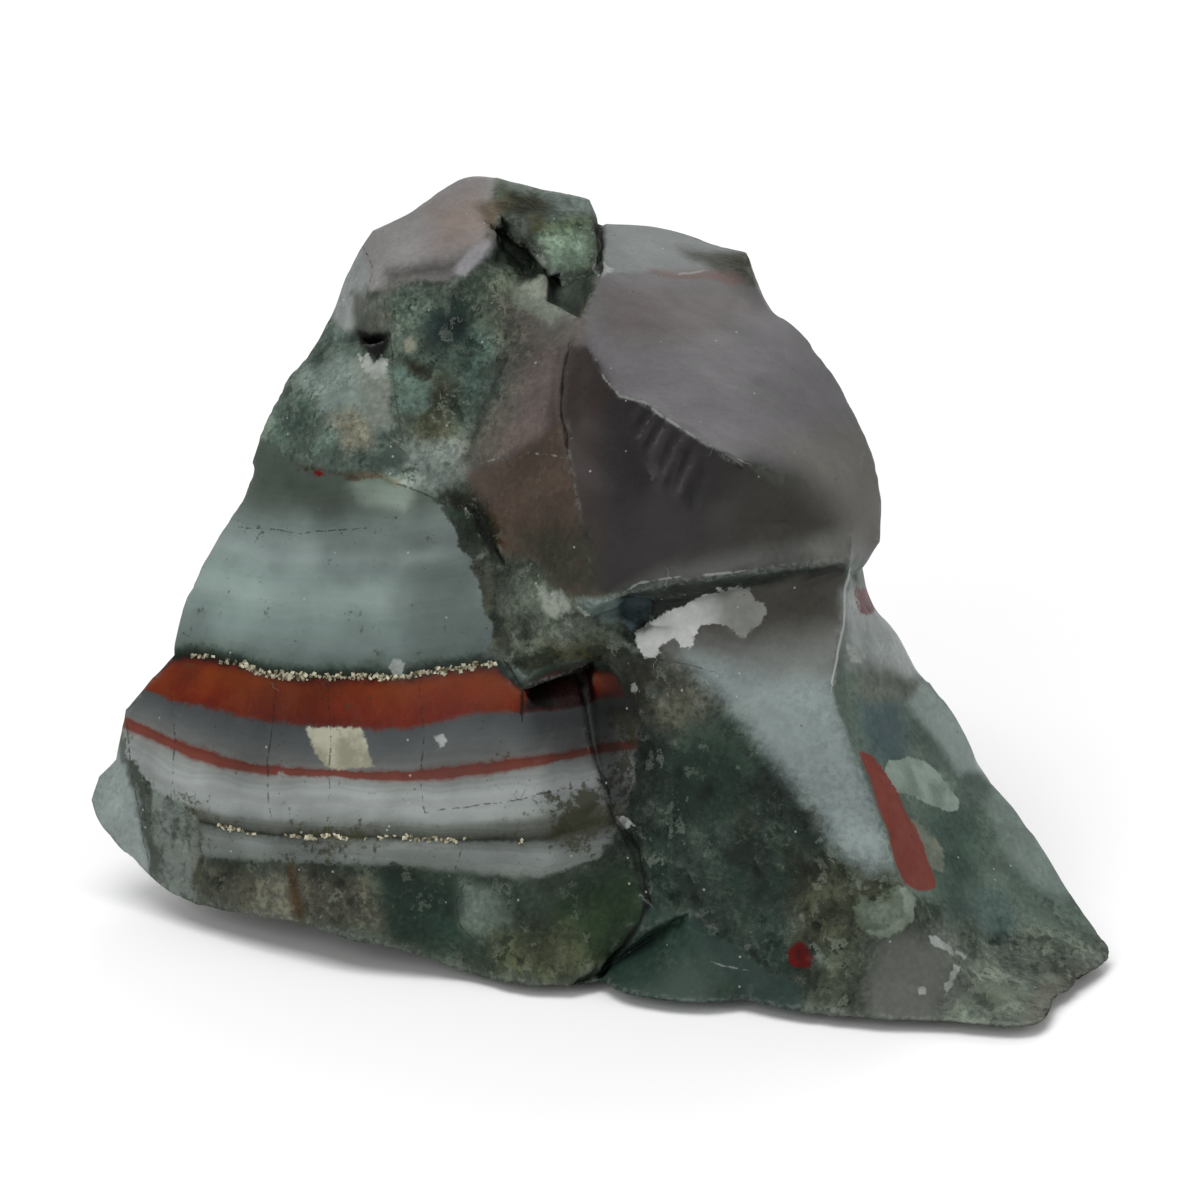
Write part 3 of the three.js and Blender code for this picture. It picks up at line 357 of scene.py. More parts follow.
PATCHES = [
    ("chalcedony side", (118, 126, 122), 0.3, 0.2, [-28, -2, -21.45, -2.95, -22.5, -4.5, -23.6, -6, -23.5,
        -7.5, -27, -8]),
    ("under the bands", (50, 60, 52), 0.4, 0.7, [-23, -12.5, -20, -12.9, -15, -13.2, -10, -13.3, -3, -13.9,
        -0.5, -13.1, 1.25, -12.5, 2.5, -15.5, 0, -19.25, -2, -20, -15, -18, -22.5, -15]),
    ("brown rock", (84, 84, 74), 0.8, 0.8, [-19.75, -13.4, -11.5, -13.5, -10.75, -16.5, -15, -16.75, -19.5,
        -15.25]),
    ("brown streak", (66, 53, 38), 0.2, 0.4, [-15.35, -13.1, -14.9, -13.1, -14.8, -16.25, -15.2, -16.25]),
    ("dark green", (38, 52, 45), 0.7, 0.5, [-10.75, -13.7, -7.25, -13.9, -6.75, -17, -10, -17.25]),
    ("pale patch", (88, 100, 92), 0.6, 0.4, [-6.9, -14.3, -4.9, -14.2, -4.75, -16.25, -6, -16.75, -6.9,
        -16]),
    ("green foot", (44, 58, 42), 0.5, 0.5, [-2, -14.25, 2, -13.4, 2.5, -15.6, 0.1, -18.7, -1.5, -18, -2.6,
        -16]),
    ("olive foot", (74, 80, 62), 0.8, 0.8, [-5.5, -16.5, -2, -16, 0, -18.25, -2, -19.75, -5, -19.25]),
    ("foot edge", (58, 66, 57), 0.5, 0.9, [-15, -16, -9, -17.5, -4, -18.75, -2, -20, -9, -19.5, -15, -17.5]),
    ("lobe", (134, 144, 141), 0.3, 0.15, [-27, -7.5, -25, -8, -24.1, -7, -23.55, -7.4, -23.1, -9.5, -22.65,
        -12.5, -22.4, -14.25, -23.5, -14.5, -27, -11.5]),
    ("lobe ridge", (88, 97, 92), 0.35, 0.7, [-23.55, -7.1, -22.5, -8.6, -20.4, -10, -19.75, -11.5, -19.85,
        -13.1, -19.75, -15.75, -22, -15, -22.6, -12.5, -23.1, -9.5]),
    ("olive streak", (66, 60, 40), 0.4, 0.9, [-20.8, -10.15, -19.85, -10.4, -19.65, -15, -20.35, -15.25,
        -20.7, -13]),
    ("moss left", (84, 98, 91), 0.4, 0.75, [-13.5, 15, -12.75, 15, -11.9, 12.75, -11.4, 11.75, -10.75, 11.25,
        -10.25, 9.75, -10.15, 5.8, -15, 6.2, -18.25, 6.2, -18.5, 7.5, -16.9, 10.25, -15, 13]),
    ("moss left light", (118, 131, 125), 0.7, 0.4, [-15.2, 11.4, -12.5, 11.9, -10.75, 10.75, -10.3, 8.75,
        -12.5, 8.6, -14.7, 9.4]),
    ("moss left dark", (84, 99, 90), 0.7, 0.7, [-17.75, 9.8, -15, 10, -13.4, 8.8, -13.7, 7.1, -18.1, 6.9]),
    ("under the notch", (116, 123, 115), 0.2, 0.3, [-12, 11.7, -10.6, 11.9, -10.15, 9.4, -10.8, 8.8, -11.7,
        9.8]),
    ("cream fleck", (126, 124, 108), 0.5, 0.9, [-13.3, 9.3, -12.2, 9.6, -11.3, 9.1, -11.4, 8, -12.7, 7.7]),
    ("brown line", (78, 70, 56), 0.35, 0.9, [-18.2, 6.9, -13.5, 6.8, -10, 6.1, -10.25, 5.5, -13.5, 5.9, -18,
        6]),
    ("moss middle", (77, 87, 78), 0.5, 1, [-10.7, 15.5, -10, 16, -7.5, 16.2, -6, 17.6, -5, 18.1, -3.4, 15.75,
        -2.4, 15, -3.8, 12.5, -4.85, 10, -5.9, 8, -6.6, 6.9, -6.5, 5.4, -5.7, 3.5, -7.25, 4, -8.2, 5, -10.2,
        5.8, -10.3, 9.75]),
    ("moss middle teal", (74, 92, 84), 0.9, 1, [-8.5, 13.5, -5, 13.5, -5, 10, -6.5, 8, -8.5, 9]),
    ("moss middle brown", (66, 68, 54), 0.9, 1, [-10, 11, -7.5, 11.5, -7, 8, -9, 7]),
    ("moss middle light", (124, 134, 128), 0.6, 0.7, [-10.2, 8, -6.5, 8, -6.3, 6.2, -8, 5.4, -10, 5.8]),
    ("moss top light", (90, 99, 86), 0.9, 0.8, [-7.25, 15.5, -5.75, 16.9, -3.5, 15.8, -3, 14, -5, 13, -6.2,
        14]),
    ("moss core", (36, 48, 47), 0.5, 0.9, [-9, 14.3, -7.5, 14.7, -6.6, 13.9, -7.1, 12.5, -8.5, 12.6]),
    ("moss island", (84, 102, 94), 0.35, 0.6, [-10.35, 11.7, -9.4, 11.9, -8.5, 11.1, -8.7, 9.7, -9.8, 9.5,
        -10.25, 10]),
    ("cream oval", (124, 127, 111), 0.1, 0.2, [-9.85, 12.9, -9.5, 13.1, -9.1, 12.8, -9.25, 12.4, -9.75,
        12.45]),
    ("moss arc", (40, 40, 30), 0.25, 0.9, [-9.9, 12.4, -9, 12.1, -8.3, 11.7, -8.5, 11.3, -9.5, 11.7]),
    ("smoky knob", (132, 129, 129), 0.15, 0.05, [-12.5, 16.9, -11.4, 18.6, -10, 20, -8, 21.5, -6.25, 22.5,
        -4.75, 21.5, -4.5, 20.2, -4.8, 18.7, -5.1, 18, -6, 17.55, -7.2, 16.5, -7.6, 16.05, -10, 15.85, -10.7,
        15.3, -11.5, 15.4, -11.9, 16.25]),
    ("knob pink", (128, 117, 110), 1, 0.05, [-8.5, 19.5, -6.5, 20.5, -5, 19.25, -6, 18, -8, 17.5]),
    ("knob grey foot", (84, 82, 79), 0.5, 0.3, [-10.75, 16.5, -8, 17, -6.5, 17.4, -7.5, 16.2, -10, 15.9,
        -10.6, 15.5]),
    # A painted highlight on the knob.
    ("lavender highlight", (142, 140, 143), 0.12, 0.1, [-7.4, 16.4, -6.5, 17.6, -5.15, 18.05, -5.7, 17, -6.8,
        16.1]),
    ("pale sliver", (140, 145, 143), 0.3, 0.2, [-13.75, 14.5, -13, 16.7, -11.9, 17.6, -11.65, 16.5, -11.7,
        15, -12.2, 13.4, -12.8, 13.5]),
    ("over the notch", (84, 88, 80), 0.4, 0.4, [-12.4, 15.4, -10.7, 15.7, -10.4, 13.5, -12.2, 13.4]),
    # The notch is painted near-black as the shadow in its recess.
    ("notch", (14, 18, 12), 0.12, 0.25, [-12.3, 13.6, -11.5, 13.35, -10.55, 13.5, -10.7, 12.7, -11, 12.1,
        -11.2, 11.65, -11.45, 12.2, -11.95, 12.7]),
    ("green block", (84, 98, 84), 0.25, 0.8, [-5.1, 21.5, -2.4, 21, 0.5, 20.5, 0.15, 18, 0, 16.4, -1, 15.9,
        -2.1, 15.8, -3.2, 16.9, -4.4, 17.7, -5, 18.7]),
    ("block top", (100, 111, 106), 0.3, 0.35, [-4.75, 21.5, -2.4, 21, 0.5, 20.5, -0.1, 19.2, -2.2, 19.4,
        -4.4, 20.2]),
    ("block brown", (88, 78, 65), 0.35, 0.4, [-5.9, 19.8, -4.4, 20, -4, 18.9, -4.7, 17.9, -5.6, 18.1]),
    ("block olive", (48, 47, 29), 0.5, 0.9, [-4.7, 20.5, -3.5, 20.4, -2.6, 19.6, -2.4, 18.7, -3.2, 17.8,
        -4.2, 18, -4.5, 18.9]),
    ("block shade", (62, 72, 56), 0.4, 0.8, [-2.4, 19.3, 0, 19.2, 0.05, 16.4, -0.8, 16.3, -0.6, 18.2, -2,
        18.7]),
    ("block pale", (112, 130, 114), 0.4, 0.7, [-2.75, 18.2, -1.5, 18.6, -0.7, 18, -0.8, 16.7, -2, 16.7]),
    # Painted shadow in the deep recess between the knob and the green block.
    ("block dark", (26, 31, 23), 0.3, 1, [-5, 19.2, -3.7, 19.6, -3.4, 18.2, -2.6, 16.9, -2.2, 15.8, -3.6,
        15.5, -4.8, 17.2, -5.6, 18.2]),
    ("mauve fade", (88, 83, 78), 1.3, 0.4, [-5, 15, -2, 15.5, -2, 7, -6.5, 6.6, -6.3, 8, -5.5, 10, -4.6,
        12.5]),
    ("top wedge", (111, 116, 115), 0.2, 0.05, [0, 20, 3, 19.5, 8, 18, 8.75, 16.5, 7.85, 15.4, 5, 15.7, 2.5,
        16.1, 0.15, 16.2]),
    ("wedge green", (60, 60, 53), 0.5, 0.4, [4.1, 17.3, 8.75, 17.5, 8.75, 15.8, 7.6, 15.7, 4.6, 16.7]),
    ("wedge red", (104, 78, 72), 0.35, 0.1, [2.5, 16.4, 6.8, 16.3, 7.1, 15.5, 2.75, 15.75]),
    ("dome top", (102, 100, 102), 0.08, 0, [-1.25, 12.75, -0.1, 16.2, 2.5, 16.25, 7.85, 15.65, 10.5, 14.5,
        13.5, 11, 15.75, 6, 15.25, 1.5, 13.1, 1.7, 12.55, 3.5, 12.5, 5.4, 10, 6.2, 7.1, 6.9, 5.75, 7.6, 4.5,
        8.35, 3.25, 9.15, 2.25, 9.85, 1, 10.25, 0.25, 11.1, -0.15, 12, -0.85, 12.75]),
    ("dome top brown", (95, 90, 89), 0.9, 0, [0, 15.75, 7, 15.75, 8, 14.5, 5, 13, 1, 13, 0, 14]),
    ("dome right", (106, 104, 99), 1.2, 0, [9, 8, 13.5, 9, 15.25, 6, 15, 2, 13.1, 2, 12.55, 2.4, 10, 4]),
    # The dome's lower, down-facing facets (dome dark, dome fade and dome left) are dark smoky stone, and are
    # painted darker still with their shade.
    ("dome dark", (48, 46, 46), 0.1, 0, [-0.85, 12.75, -0.15, 12, 0.25, 11.1, 1, 10.25, 2.25, 9.85, 3.25,
        9.15, 4.5, 8.35, 5.75, 7.6, 7.1, 6.9, 9.5, 5, 10, 3, 9.5, 1.7, 7, 1.35, 4, 1.1, 1.1, 0.15, 0, 0.4,
        -1, 4.25, -1.7, 7.75, -1.95, 10.5, -1.5, 12.75]),
    ("dome fade", (60, 59, 56), 1.4, 0, [7.1, 6.9, 10, 6.5, 12, 4, 12.3, 1.7, 5, 1.3, 6, 4]),
    ("dome left", (54, 47, 45), 0.7, 0, [-0.85, 12.75, 0.25, 11.1, 0, 8, 0, 1, -1, 4.25, -1.7, 7.75, -1.95,
        10.5, -1.5, 12.75]),
    ("dome lip", (84, 85, 82), 0.7, 0.05, [1, 0.4, 4, 1.7, 7, 2.2, 10, 2.85, 12.5, 3.5, 12.5, 1.85, 10, 1.8,
        7, 1.35, 4, 1.05, 1.5, 0.1]),
    ("dome lip pale", (106, 106, 101), 0.9, 0.05, [10.6, 2.7, 12.5, 3.5, 12.8, 1.85, 10.9, 1.65]),
    # A strip of painted shade below the dome's overhanging lip.
    ("shade under the lip", (50, 54, 51), 0.12, 0.4, [0, 0.2, 2, 0.85, 7, 1.35, 12.5, 1.9, 12.6, 1.4, 10, 1, 7.5,
        0.65, 6, 0.4, 4.5, -0.1, 3, -0.7, 2, -0.3, 0.6, -0.3]),
    ("mauve facet", (97, 88, 85), 0.45, 0.2, [-2.2, 15, -0.75, 14.9, -0.85, 12.75, -1.5, 12.75, -1.95, 10.5,
        -1.95, 9, -1.7, 7.75, -2, 7.2, -4.5, 7.2, -5.2, 7, -4.75, 8.1, -4, 10, -3.2, 12.5]),
    ("mauve pale top", (90, 87, 82), 0.5, 0.2, [-2.75, 15, -1, 14.1, -1.25, 12.8, -3, 12.5, -3.5, 13.5]),
    ("mauve shade", (70, 62, 60), 0.4, 0.05, [-2, 12.75, -1.4, 13, -1.7, 10.5, -1.9, 8, -2.75, 8, -2.5,
        10.5]),
    ("brown facet", (76, 66, 59), 0.3, 0.2, [-6.7, 6.6, -5.6, 6.9, -4.75, 7.2, -3.9, 7.65, -2.75, 8.4, -1.9,
        8.9, -1.65, 7.65, -1.2, 5.5, -0.95, 4.25, -0.4, 0.9, 0.6, -0.1, -0.4, -0.6, -1.9, 0.4, -3, 1.4, -4.9,
        2, -5.6, 3.8, -6.6, 5.4]),
    ("brown facet foot", (58, 57, 49), 0.9, 0.3, [-4, 3, -0.75, 4, 0, 0.2, -2, 0.5, -3.25, 1.6]),
    ("pale corner", (116, 122, 111), 0.3, 0.35, [-4.2, 15.8, -2.55, 16.1, -2.65, 14.9, -1.7, 14.4, -2.2,
        13.7, -3.5, 14.2, -4.4, 14.8]),
    ("block flake", (112, 117, 108), 0.1, 0.2, [-3.5, 17.4, -3, 17.3, -2.65, 16.7, -3.05, 16.6]),
    ("square notch", (66, 74, 67), 0.08, 0.3, [-2.55, 16.4, -0.85, 16.4, -0.85, 15, -1.15, 14.1, -2.65,
        14.85]),
    ("orange stain", (84, 52, 34), 0.4, 0.4, [-5.75, 4.4, -5.2, 4, -4.7, 2.75, -5.1, 2.4, -5.6, 3.2]),
    ("olive crack", (38, 38, 24), 0.5, 1, [-7.6, 5.7, -6.1, 5, -5, 3.5, -4.7, 1.9, -5.8, 2.3, -6.9, 3.8]),
    ("olive ridge", (80, 86, 76), 0.5, 1, [-6.9, 1.6, -5, 2.2, -3, 1.5, -2, 0.5, -0.4, -0.5, 0.8, 0, 0.8,
        -1.3, 1.8, -2.5, 1.6, -3.1, 0, -3.3, -2, -3.2, -3.5, -3.8, -4.75, -3.3, -5.4, -2.5, -5.4, -1.25,
        -6.1, 0]),
    ("ridge pale", (80, 87, 79), 0.6, 0.7, [-6, 0.75, -4, 1.25, -2, 0, 0, -0.75, -1, -2, -3.5, -1.25, -5.25,
        -0.5]),
    ("ridge dark", (40, 44, 36), 0.35, 1, [-2, -2, 1.7, -2.25, 1.7, -3.4, -2, -3.4, -3.5, -3.8, -4.6, -3.2]),
    ("turquoise fleck", (112, 128, 125), 0.3, 0.4, [-0.6, -0.1, 0.9, 0, 0.85, -1.3, -0.3, -1.1]),
    ("ridge tongue", (126, 132, 124), 0.12, 0.25, [-3.2, 0.7, -2.6, 0.2, -1.9, 0.5, -1.4, -0.4, -2.4, -0.9,
        -3, -0.3]),
    ("dark face", (48, 57, 52), 0.3, 0.95, [1.8, -2.5, 5, -2.75, 6.75, -5, 8.25, -6.9, 10.25, -9.5, 12.25,
        -12.25, 13.1, -15, 12.1, -17.5, 10, -18.9, 8, -18.4, 4.5, -16.1, 2.5, -15.4, 2, -12.5, 0.6, -10.6,
        0.3, -8, -0.1, -4.5, 0, -3.2]),
    ("dark face brown", (62, 63, 56), 0.9, 0.9, [0.5, -2.75, 4.5, -2.5, 6, -5, 4.5, -7, 1, -6]),
    ("dark face teal", (42, 53, 47), 0.9, 0.7, [4.5, -6, 8, -7, 8.5, -10, 5.5, -11.5, 3, -10]),
    ("olive face", (52, 55, 46), 0.9, 1, [9.5, -12.5, 13.1, -13.1, 14.3, -14, 14, -17, 12, -18, 9.5,
        -17.25]),
    ("smoky facet", (82, 80, 76), 0.3, 0.05, [2, -2, 5, 0, 8, 0.7, 12.5, 1.6, 12.5, 0.5, 12.25, -0.5, 12, -2,
        11.65, -4.3, 9, -4.2, 5.75, -3.8, 3.8, -2.8]),
    ("smoky facet dark", (68, 67, 62), 1.2, 0.05, [8.5, 0.4, 12.3, 1, 12.1, -1.25, 10, -1.6, 8.5, -0.75]),
    ("smoky facet foot", (114, 119, 116), 1.6, 0.05, [4, -2.6, 7, -2.5, 11.9, -2, 11.7, -5, 8.5, -5, 6, -4]),
    ("pale ridge", (130, 142, 141), 0.8, 0.12, [4.3, -2.75, 9, -3.9, 11.65, -4, 12, -5.25, 12.6, -7, 13.3,
        -8.75, 14.1, -11, 14.55, -13.2, 13.5, -13.4, 12, -12.4, 10, -9.65, 8.1, -7.1, 6.3, -5]),
    ("right side", (85, 99, 91), 0.1, 0.35, [12.2, 2, 13.3, 2.2, 13.4, 0.5, 15.25, -0.5, 18, -4.5, 20.5, -8,
        23, -10.5, 27, -16, 27, -18, 24, -20.5, 19, -20.5, 16.8, -19.25, 17.25, -17.25, 16.9, -15.3, 15.3,
        -14.5, 14.7, -12.8, 13.7, -10, 12.4, -7, 11.7, -4.5, 12.1, -2, 12.35, 0.5]),
    ("side pale top", (144, 151, 150), 0.5, 0.2, [12.3, 0.5, 13.75, 0.5, 15.25, -1, 16.75, -3.8, 14.75, -4.5,
        13.6, -4, 12.3, -3.2, 12.2, -1]),
    ("side brown", (96, 101, 93), 0.6, 0.4, [13, -3.4, 16.5, -4.4, 16.25, -5.2, 13.4, -5.2, 12.6, -4.6]),
    ("side blue", (72, 88, 89), 0.5, 0.2, [13.1, -5.1, 15, -5.1, 15.3, -7, 15, -8.2, 13.8, -8, 13, -6.5]),
    ("side rim", (134, 146, 142), 0.3, 0.1, [16.25, -4, 19.5, -7, 19.25, -8.5, 18, -8.8, 16.5, -6.7, 15.4,
        -5.1]),
    ("side teal", (64, 80, 72), 0.8, 0.3, [16.5, -9.5, 18.75, -11.1, 19.25, -13.5, 18.3, -15.6, 17.2, -15.25,
        16.3, -13, 15.75, -11]),
    ("side rim low", (118, 131, 125), 0.4, 0.2, [20, -9, 24.3, -13.8, 23.2, -15, 21.4, -14, 20, -12, 19.25,
        -10.25]),
    ("low right", (92, 100, 91), 0.8, 0.85, [17, -16.25, 20, -15.6, 23, -16.4, 27, -17.25, 24.5, -22, 18,
        -22, 16.5, -19.25]),
    ("low teal", (80, 96, 92), 0.5, 0.4, [18.4, -15.1, 20, -14.8, 20.8, -16, 20.3, -17.5, 19, -17]),
    ("toe", (92, 94, 86), 0.6, 0.8, [22, -19.25, 25.5, -18, 27, -20, 24, -22, 21, -21.5]),
    ("green foot facet", (50, 66, 59), 0.2, 0.2, [2.5, -15.4, 4.5, -15.9, 8.4, -18.6, 6.9, -19, 6, -21.5, 1,
        -21.5, -0.2, -18.75, 1.1, -17.5]),
    ("blue foot facet", (44, 58, 54), 0.25, 0.2, [4.5, -15.9, 8.4, -18.6, 10.6, -19.5, 10.6, -21.5, 6.75,
        -21.5, 6.75, -19.25]),
    ("grey foot", (98, 101, 95), 1.2, 0.1, [14, -16.5, 17.25, -16.75, 17.75, -19.25, 16.75, -22, 13.25, -22,
        12.9, -19.25]),
    ("foot mottle", (66, 72, 62), 0.7, 1, [10, -18, 13.1, -17.5, 13.5, -21.5, 10, -21.5]),
]
# These end at the stone's own edges, so their outlines hardly waver. So does a smooth patch's.
ON_FACETS = ("dome", "smoky", "knob", "lavender", "pale sliver", "square", "top wedge", "right side",
             "shade under the lip", "block dark")
SMOOTH = 0.3
FRONT_ONLY = ("notch", "under the notch", "over the notch", "cream", "block flake", "moss island", "moss arc",
              "turquoise", "ridge tongue", "lavender", "square", "brown streak")
paint = np.tile(hue(54, 63, 55), (len(points), 1))
raw = np.full(len(points), 0.8)
for name, colour, soft, rawness, outline in PATCHES:
    places = wavy if name.startswith(ON_FACETS) or rawness < SMOOTH else torn
    share = step_up(inside(outline, places), -soft, soft)
    if name.startswith(FRONT_ONLY):
        share = share * front
    paint += (hue(*colour) - paint) * share[:, None]
    raw += (rawness - raw) * share
in_bands = step_up(banded, -0.15, 0.15) * step_up(-layer, -6.1, -5.9)
raw += (0.22 - raw) * in_bands

# Crisp patches, of which a name may have several. Each is kept as how far inside it a place lies,
# in mm. Only the front has them.
CRUST_SPREAD = 0.08
crumbly = drawn + 0.1 * ragged
CRISP = [
    ("red_strip", wavy, [12.9, -7.6, 13.6, -7.7, 14.3, -8.5, 15.1, -9.8, 15.7, -11.3, 16.3, -12.8, 16.8,
        -13.9, 16.8, -14.4, 16.2, -14.6, 15.3, -14.25, 14.75, -13.1, 14.2, -11.1, 13.5, -9.2]),
    ("pale_oval", wavy, [14.2, -8.6, 14.5, -8, 15.4, -7.8, 16.4, -8.15, 17.2, -8.9, 17.8, -9.8, 17.9, -10.35,
        17.5, -10.55, 16.9, -10.35, 16.1, -10.05, 15.25, -9.7, 14.5, -9.25]),
    ("cream_lens", wavy, [15.1, -10.8, 15.65, -10.9, 16.4, -11.6, 17.15, -12.7, 17.4, -13.6, 16.7, -13.4,
        15.9, -12.7, 15.3, -11.9]),
    ("red_spot", wavy, [12.75, 0.7, 13.3, 0.5, 13.7, -0.3, 13.4, -0.85, 12.9, -0.65]),
    ("cream", drawn + 0.08 * ragged, [-14.7, -6.4, -11.95, -6.4, -11.65, -7.25, -11.2, -8.4, -12.75, -8.5,
        -13.8, -8.4, -14.4, -7.5]),
    ("crust", drawn + 0.14 * ragged + 0.2 * shreds, [1.85, -1.75, 2.5, -1.25, 3.25, -0.6, 4.25, -0.25, 5,
        0.15, 6, 0.45, 7.35, 0.75, 7.6, 0.15, 8.1, -0.35, 8, -1, 7.6, -1.5, 7.35, -1.85, 7, -1.85, 6.5,
        -1.25, 5.75, -1, 5.1, -1.25, 4.75, -1.75, 4.6, -2.35, 4.1, -2.35, 3.85, -1.85, 3.35, -2, 3, -2.25,
        2.85, -2.85, 2.25, -2.85, 2, -2.25]),
    ("hole", torn, [0.9, -0.3, 1.6, 0.05, 2.4, -0.1, 2.5, -0.5, 2, -1.1, 1.5, -1.4, 1.05, -1]),
    # Red jasper in a recess, painted nearly black with the shadow that lies in it.
    ("shadowed_pit", wavy, [-3.8, -5.6, -3.5, -4.05, -2.75, -3.8, -1.85, -3.5, -0.5, -3.2, -0.3, -5, -1, -5.3, -2.4,
        -5.55]),
    ("lump", wavy, [12.7, -15.5, 13.1, -14.8, 13.8, -15.2, 14.5, -15, 14.9, -14.4, 15.4, -14.5, 15.7, -15.2,
        15.6, -16, 14.9, -16.7, 14, -16.95, 13.1, -16.5]),
    ("lump_rim", wavy, [13.3, -16.5, 14.2, -16.5, 15, -15.9, 15.2, -15, 15, -14.4, 15.4, -14.5, 15.75, -15.2,
        15.6, -16.05, 14.9, -16.75, 14, -17]),
    ("chip", wavy, [16.2, -16.75, 17.3, -17.15, 18.3, -17.9, 17.6, -17.75, 16.7, -17.3]),
    ("chip", crumbly, [12.15, -2.2, 12.6, -2.15, 13.05, -2.55, 13.1, -3.25, 12.45, -3.1]),
    ("chip", crumbly, [17.6, -18.2, 17.95, -18.4, 17.65, -19.25, 17.25, -19.85, 17.2, -19.25]),
    ("chip", crumbly, [-12.15, 12.5, -11.85, 11.95, -11.65, 12.45, -11.3, 11.8, -11, 12.5, -10.65, 12,
        -10.75, 11.35, -11.15, 10.95, -11.7, 11.3]),
    ("chip", crumbly, [-0.4, 16.6, 0.1, 16.9, 0.7, 16.5, 0, 16.1]),
    ("chip", crumbly, [-1.25, -0.2, -0.5, -0.6, -0.7, -0.9]),
    ("chip", crumbly, [-8.35, -6.85, -8, -6.6, -7.7, -6.9, -7.8, -7.35, -8.15, -7.55, -8, -7.15]),
    ("chip", crumbly, [-10.65, -3.2, -10.25, -2.95, -9.8, -3.15, -9.85, -3.7, -10.45, -3.85]),
    ("chip", crumbly, [-16.25, -8.6, -15.9, -8.45, -15.65, -8.75, -16, -9]),
    ("chip", crumbly, [1.5, -4.1, 1.85, -4, 2.05, -4.5, 1.65, -4.75]),
    ("chip", crumbly, [0.7, -10.85, 1.25, -10.9, 1.8, -11.3, 1.2, -11.45]),
    ("chip", crumbly, [15.85, -19.25, 16.25, -19.2, 16.4, -19.65, 16, -19.8]),
]
# Round red spots: the middle, the radius, and how far each is squeezed.
RED_SPOTS = [
    ((10.05, -17.8), 0.58, (1, 1)),
    ((-14.1, 6.35), 0.14, (0.7, 1.2)),
    ((-10.35, 6.65), 0.12, (0.7, 1.2)),
]
shapes = {}
for name, places, outline in CRISP:
    deep = inside(outline, places)
    shapes[name] = np.maximum(shapes.get(name, deep), deep)
for middle, radius, squeeze in RED_SPOTS:
    deep = radius - np.hypot(*((wavy - middle) * squeeze).T)
    shapes["red_spot"] = np.maximum(shapes["red_spot"], deep)
shapes["crust"] += CRUST_SPREAD
for deep in shapes.values():
    deep[front < 0.5] = -2
# The crust is thick and white on its left, and thin and grey on its right.
crust_light = step_up(6.6 - across, 0, 1.8)

# Cracks and hairlines, drawn dark, and thin pale veins and painted highlights along edges, drawn light.
LINES = {
    "crack": [
        [-1.1, -3.8, -0.7, -5.3, -0.4, -7, 0.2, -9, 0.7, -10.8, 1.8, -12.5, 2.45, -15.1],
        [2.45, -15.1, 2, -16.1, 0.1, -18.75],
        [-6.6, 4.6, -6.1, 4.1, -5.4, 2.75, -4.9, 1.9],
        [-5.4, 18.7, -4, 17.5, -2.2, 15.9],
        [0, 19.8, 0.05, 18, 0, 16.4],
        [-4.75, -3.2, -3.8, -4.5, -3.9, -5.6],
        [-1.6, 12.5, -1.9, 11.4, -2, 10, -1.95, 8.8, -1.7, 7.7],
    ],
    "hairline": [
        [-18, 3.65, -15, 3.4, -11.4, 3.55],
        [-10.75, 15, -10.45, 12.4, -10.2, 9.75, -9.8, 8],
        [-10.2, 5.8, -8.5, 5.2, -7.7, 4.7, -7.2, 3.4],
        [-11.7, 17.5, -11.4, 16.6, -11.7, 15],
        [-21.4, -5, -21.2, -7.1, -21.4, -10],
        [-16.25, -4.5, -16.4, -6.1, -16.6, -8.1, -16.5, -10.6],
        [-13.65, -4.5, -13.5, -6.5, -13.55, -9.5],
        [-9, -4.5, -8.8, -6.5, -8.95, -8.9, -8.8, -10.5],
        [-7, -12.5, -7.4, -14, -7.1, -15.25],
        [-23.7, -6.25, -23.2, -9.5, -22.7, -12.5, -22.45, -14.1],
        [2, -2.85, 3.8, -3.1, 5.6, -3.6],
        [-8.75, -10.6, -6.5, -10.3, -4, -10, -2.2, -9.6],
        [-6.85, -14.3, -7.2, -15.2, -7, -16.3, -6.3, -17],
    ],
    "vein_and_highlight": [
        # The first of these is a painted highlight along the dome's ridge, and the seventh one along the
        # dome's lip.
        [-0.85, 12.75, -0.15, 12, 0.25, 11.1, 1, 10.25, 2.25, 9.85, 3.25, 9.15, 4.5, 8.35, 5.75, 7.6, 7.1,
         6.9],
        [-10.1, 2.2, -9, 2.4, -7.9, 2.2],
        [-5.8, 6.9, -5, 7.15, -3.5, 7.4, -2, 7.2],
        [2.8, 16.2, 5, 16.35],
        [6, -18.25, 7.25, -18.5, 8.4, -18.7],
        [2.3, -15, 2.7, -15.4, 3.2, -15.55],
        [1, 0.25, 2, 0.85, 4, 1.2, 7, 1.45],
        [11.75, 7.4, 12.5, 7.25, 13.6, 6.7],
        [-2.4, 16.2, -1.7, 16, -1, 16.1],
    ],
    "glint": [
        # The glint: a painted highlight down a bright edge on the right.
        [12.45, 1.6, 12.25, 0, 12.1, -1.1, 11.85, -2.5, 11.6, -4.2],
    ],
}
line_marks = {}
far_from = {}
for name, lines in LINES.items():
    nearest = np.full(len(points), 9.0)
    for line in lines:
        away = beside(line, drawn + 0.12 * ragged)
        nearest = np.where(np.abs(away) < np.abs(nearest), away, nearest)
    line_marks[name] = np.clip(nearest, -1, 1)
    far_from[name] = np.where(front < 0.5, 1, np.clip(np.abs(nearest), 0, 1))
line_far = np.min(list(far_from.values()), axis=0)
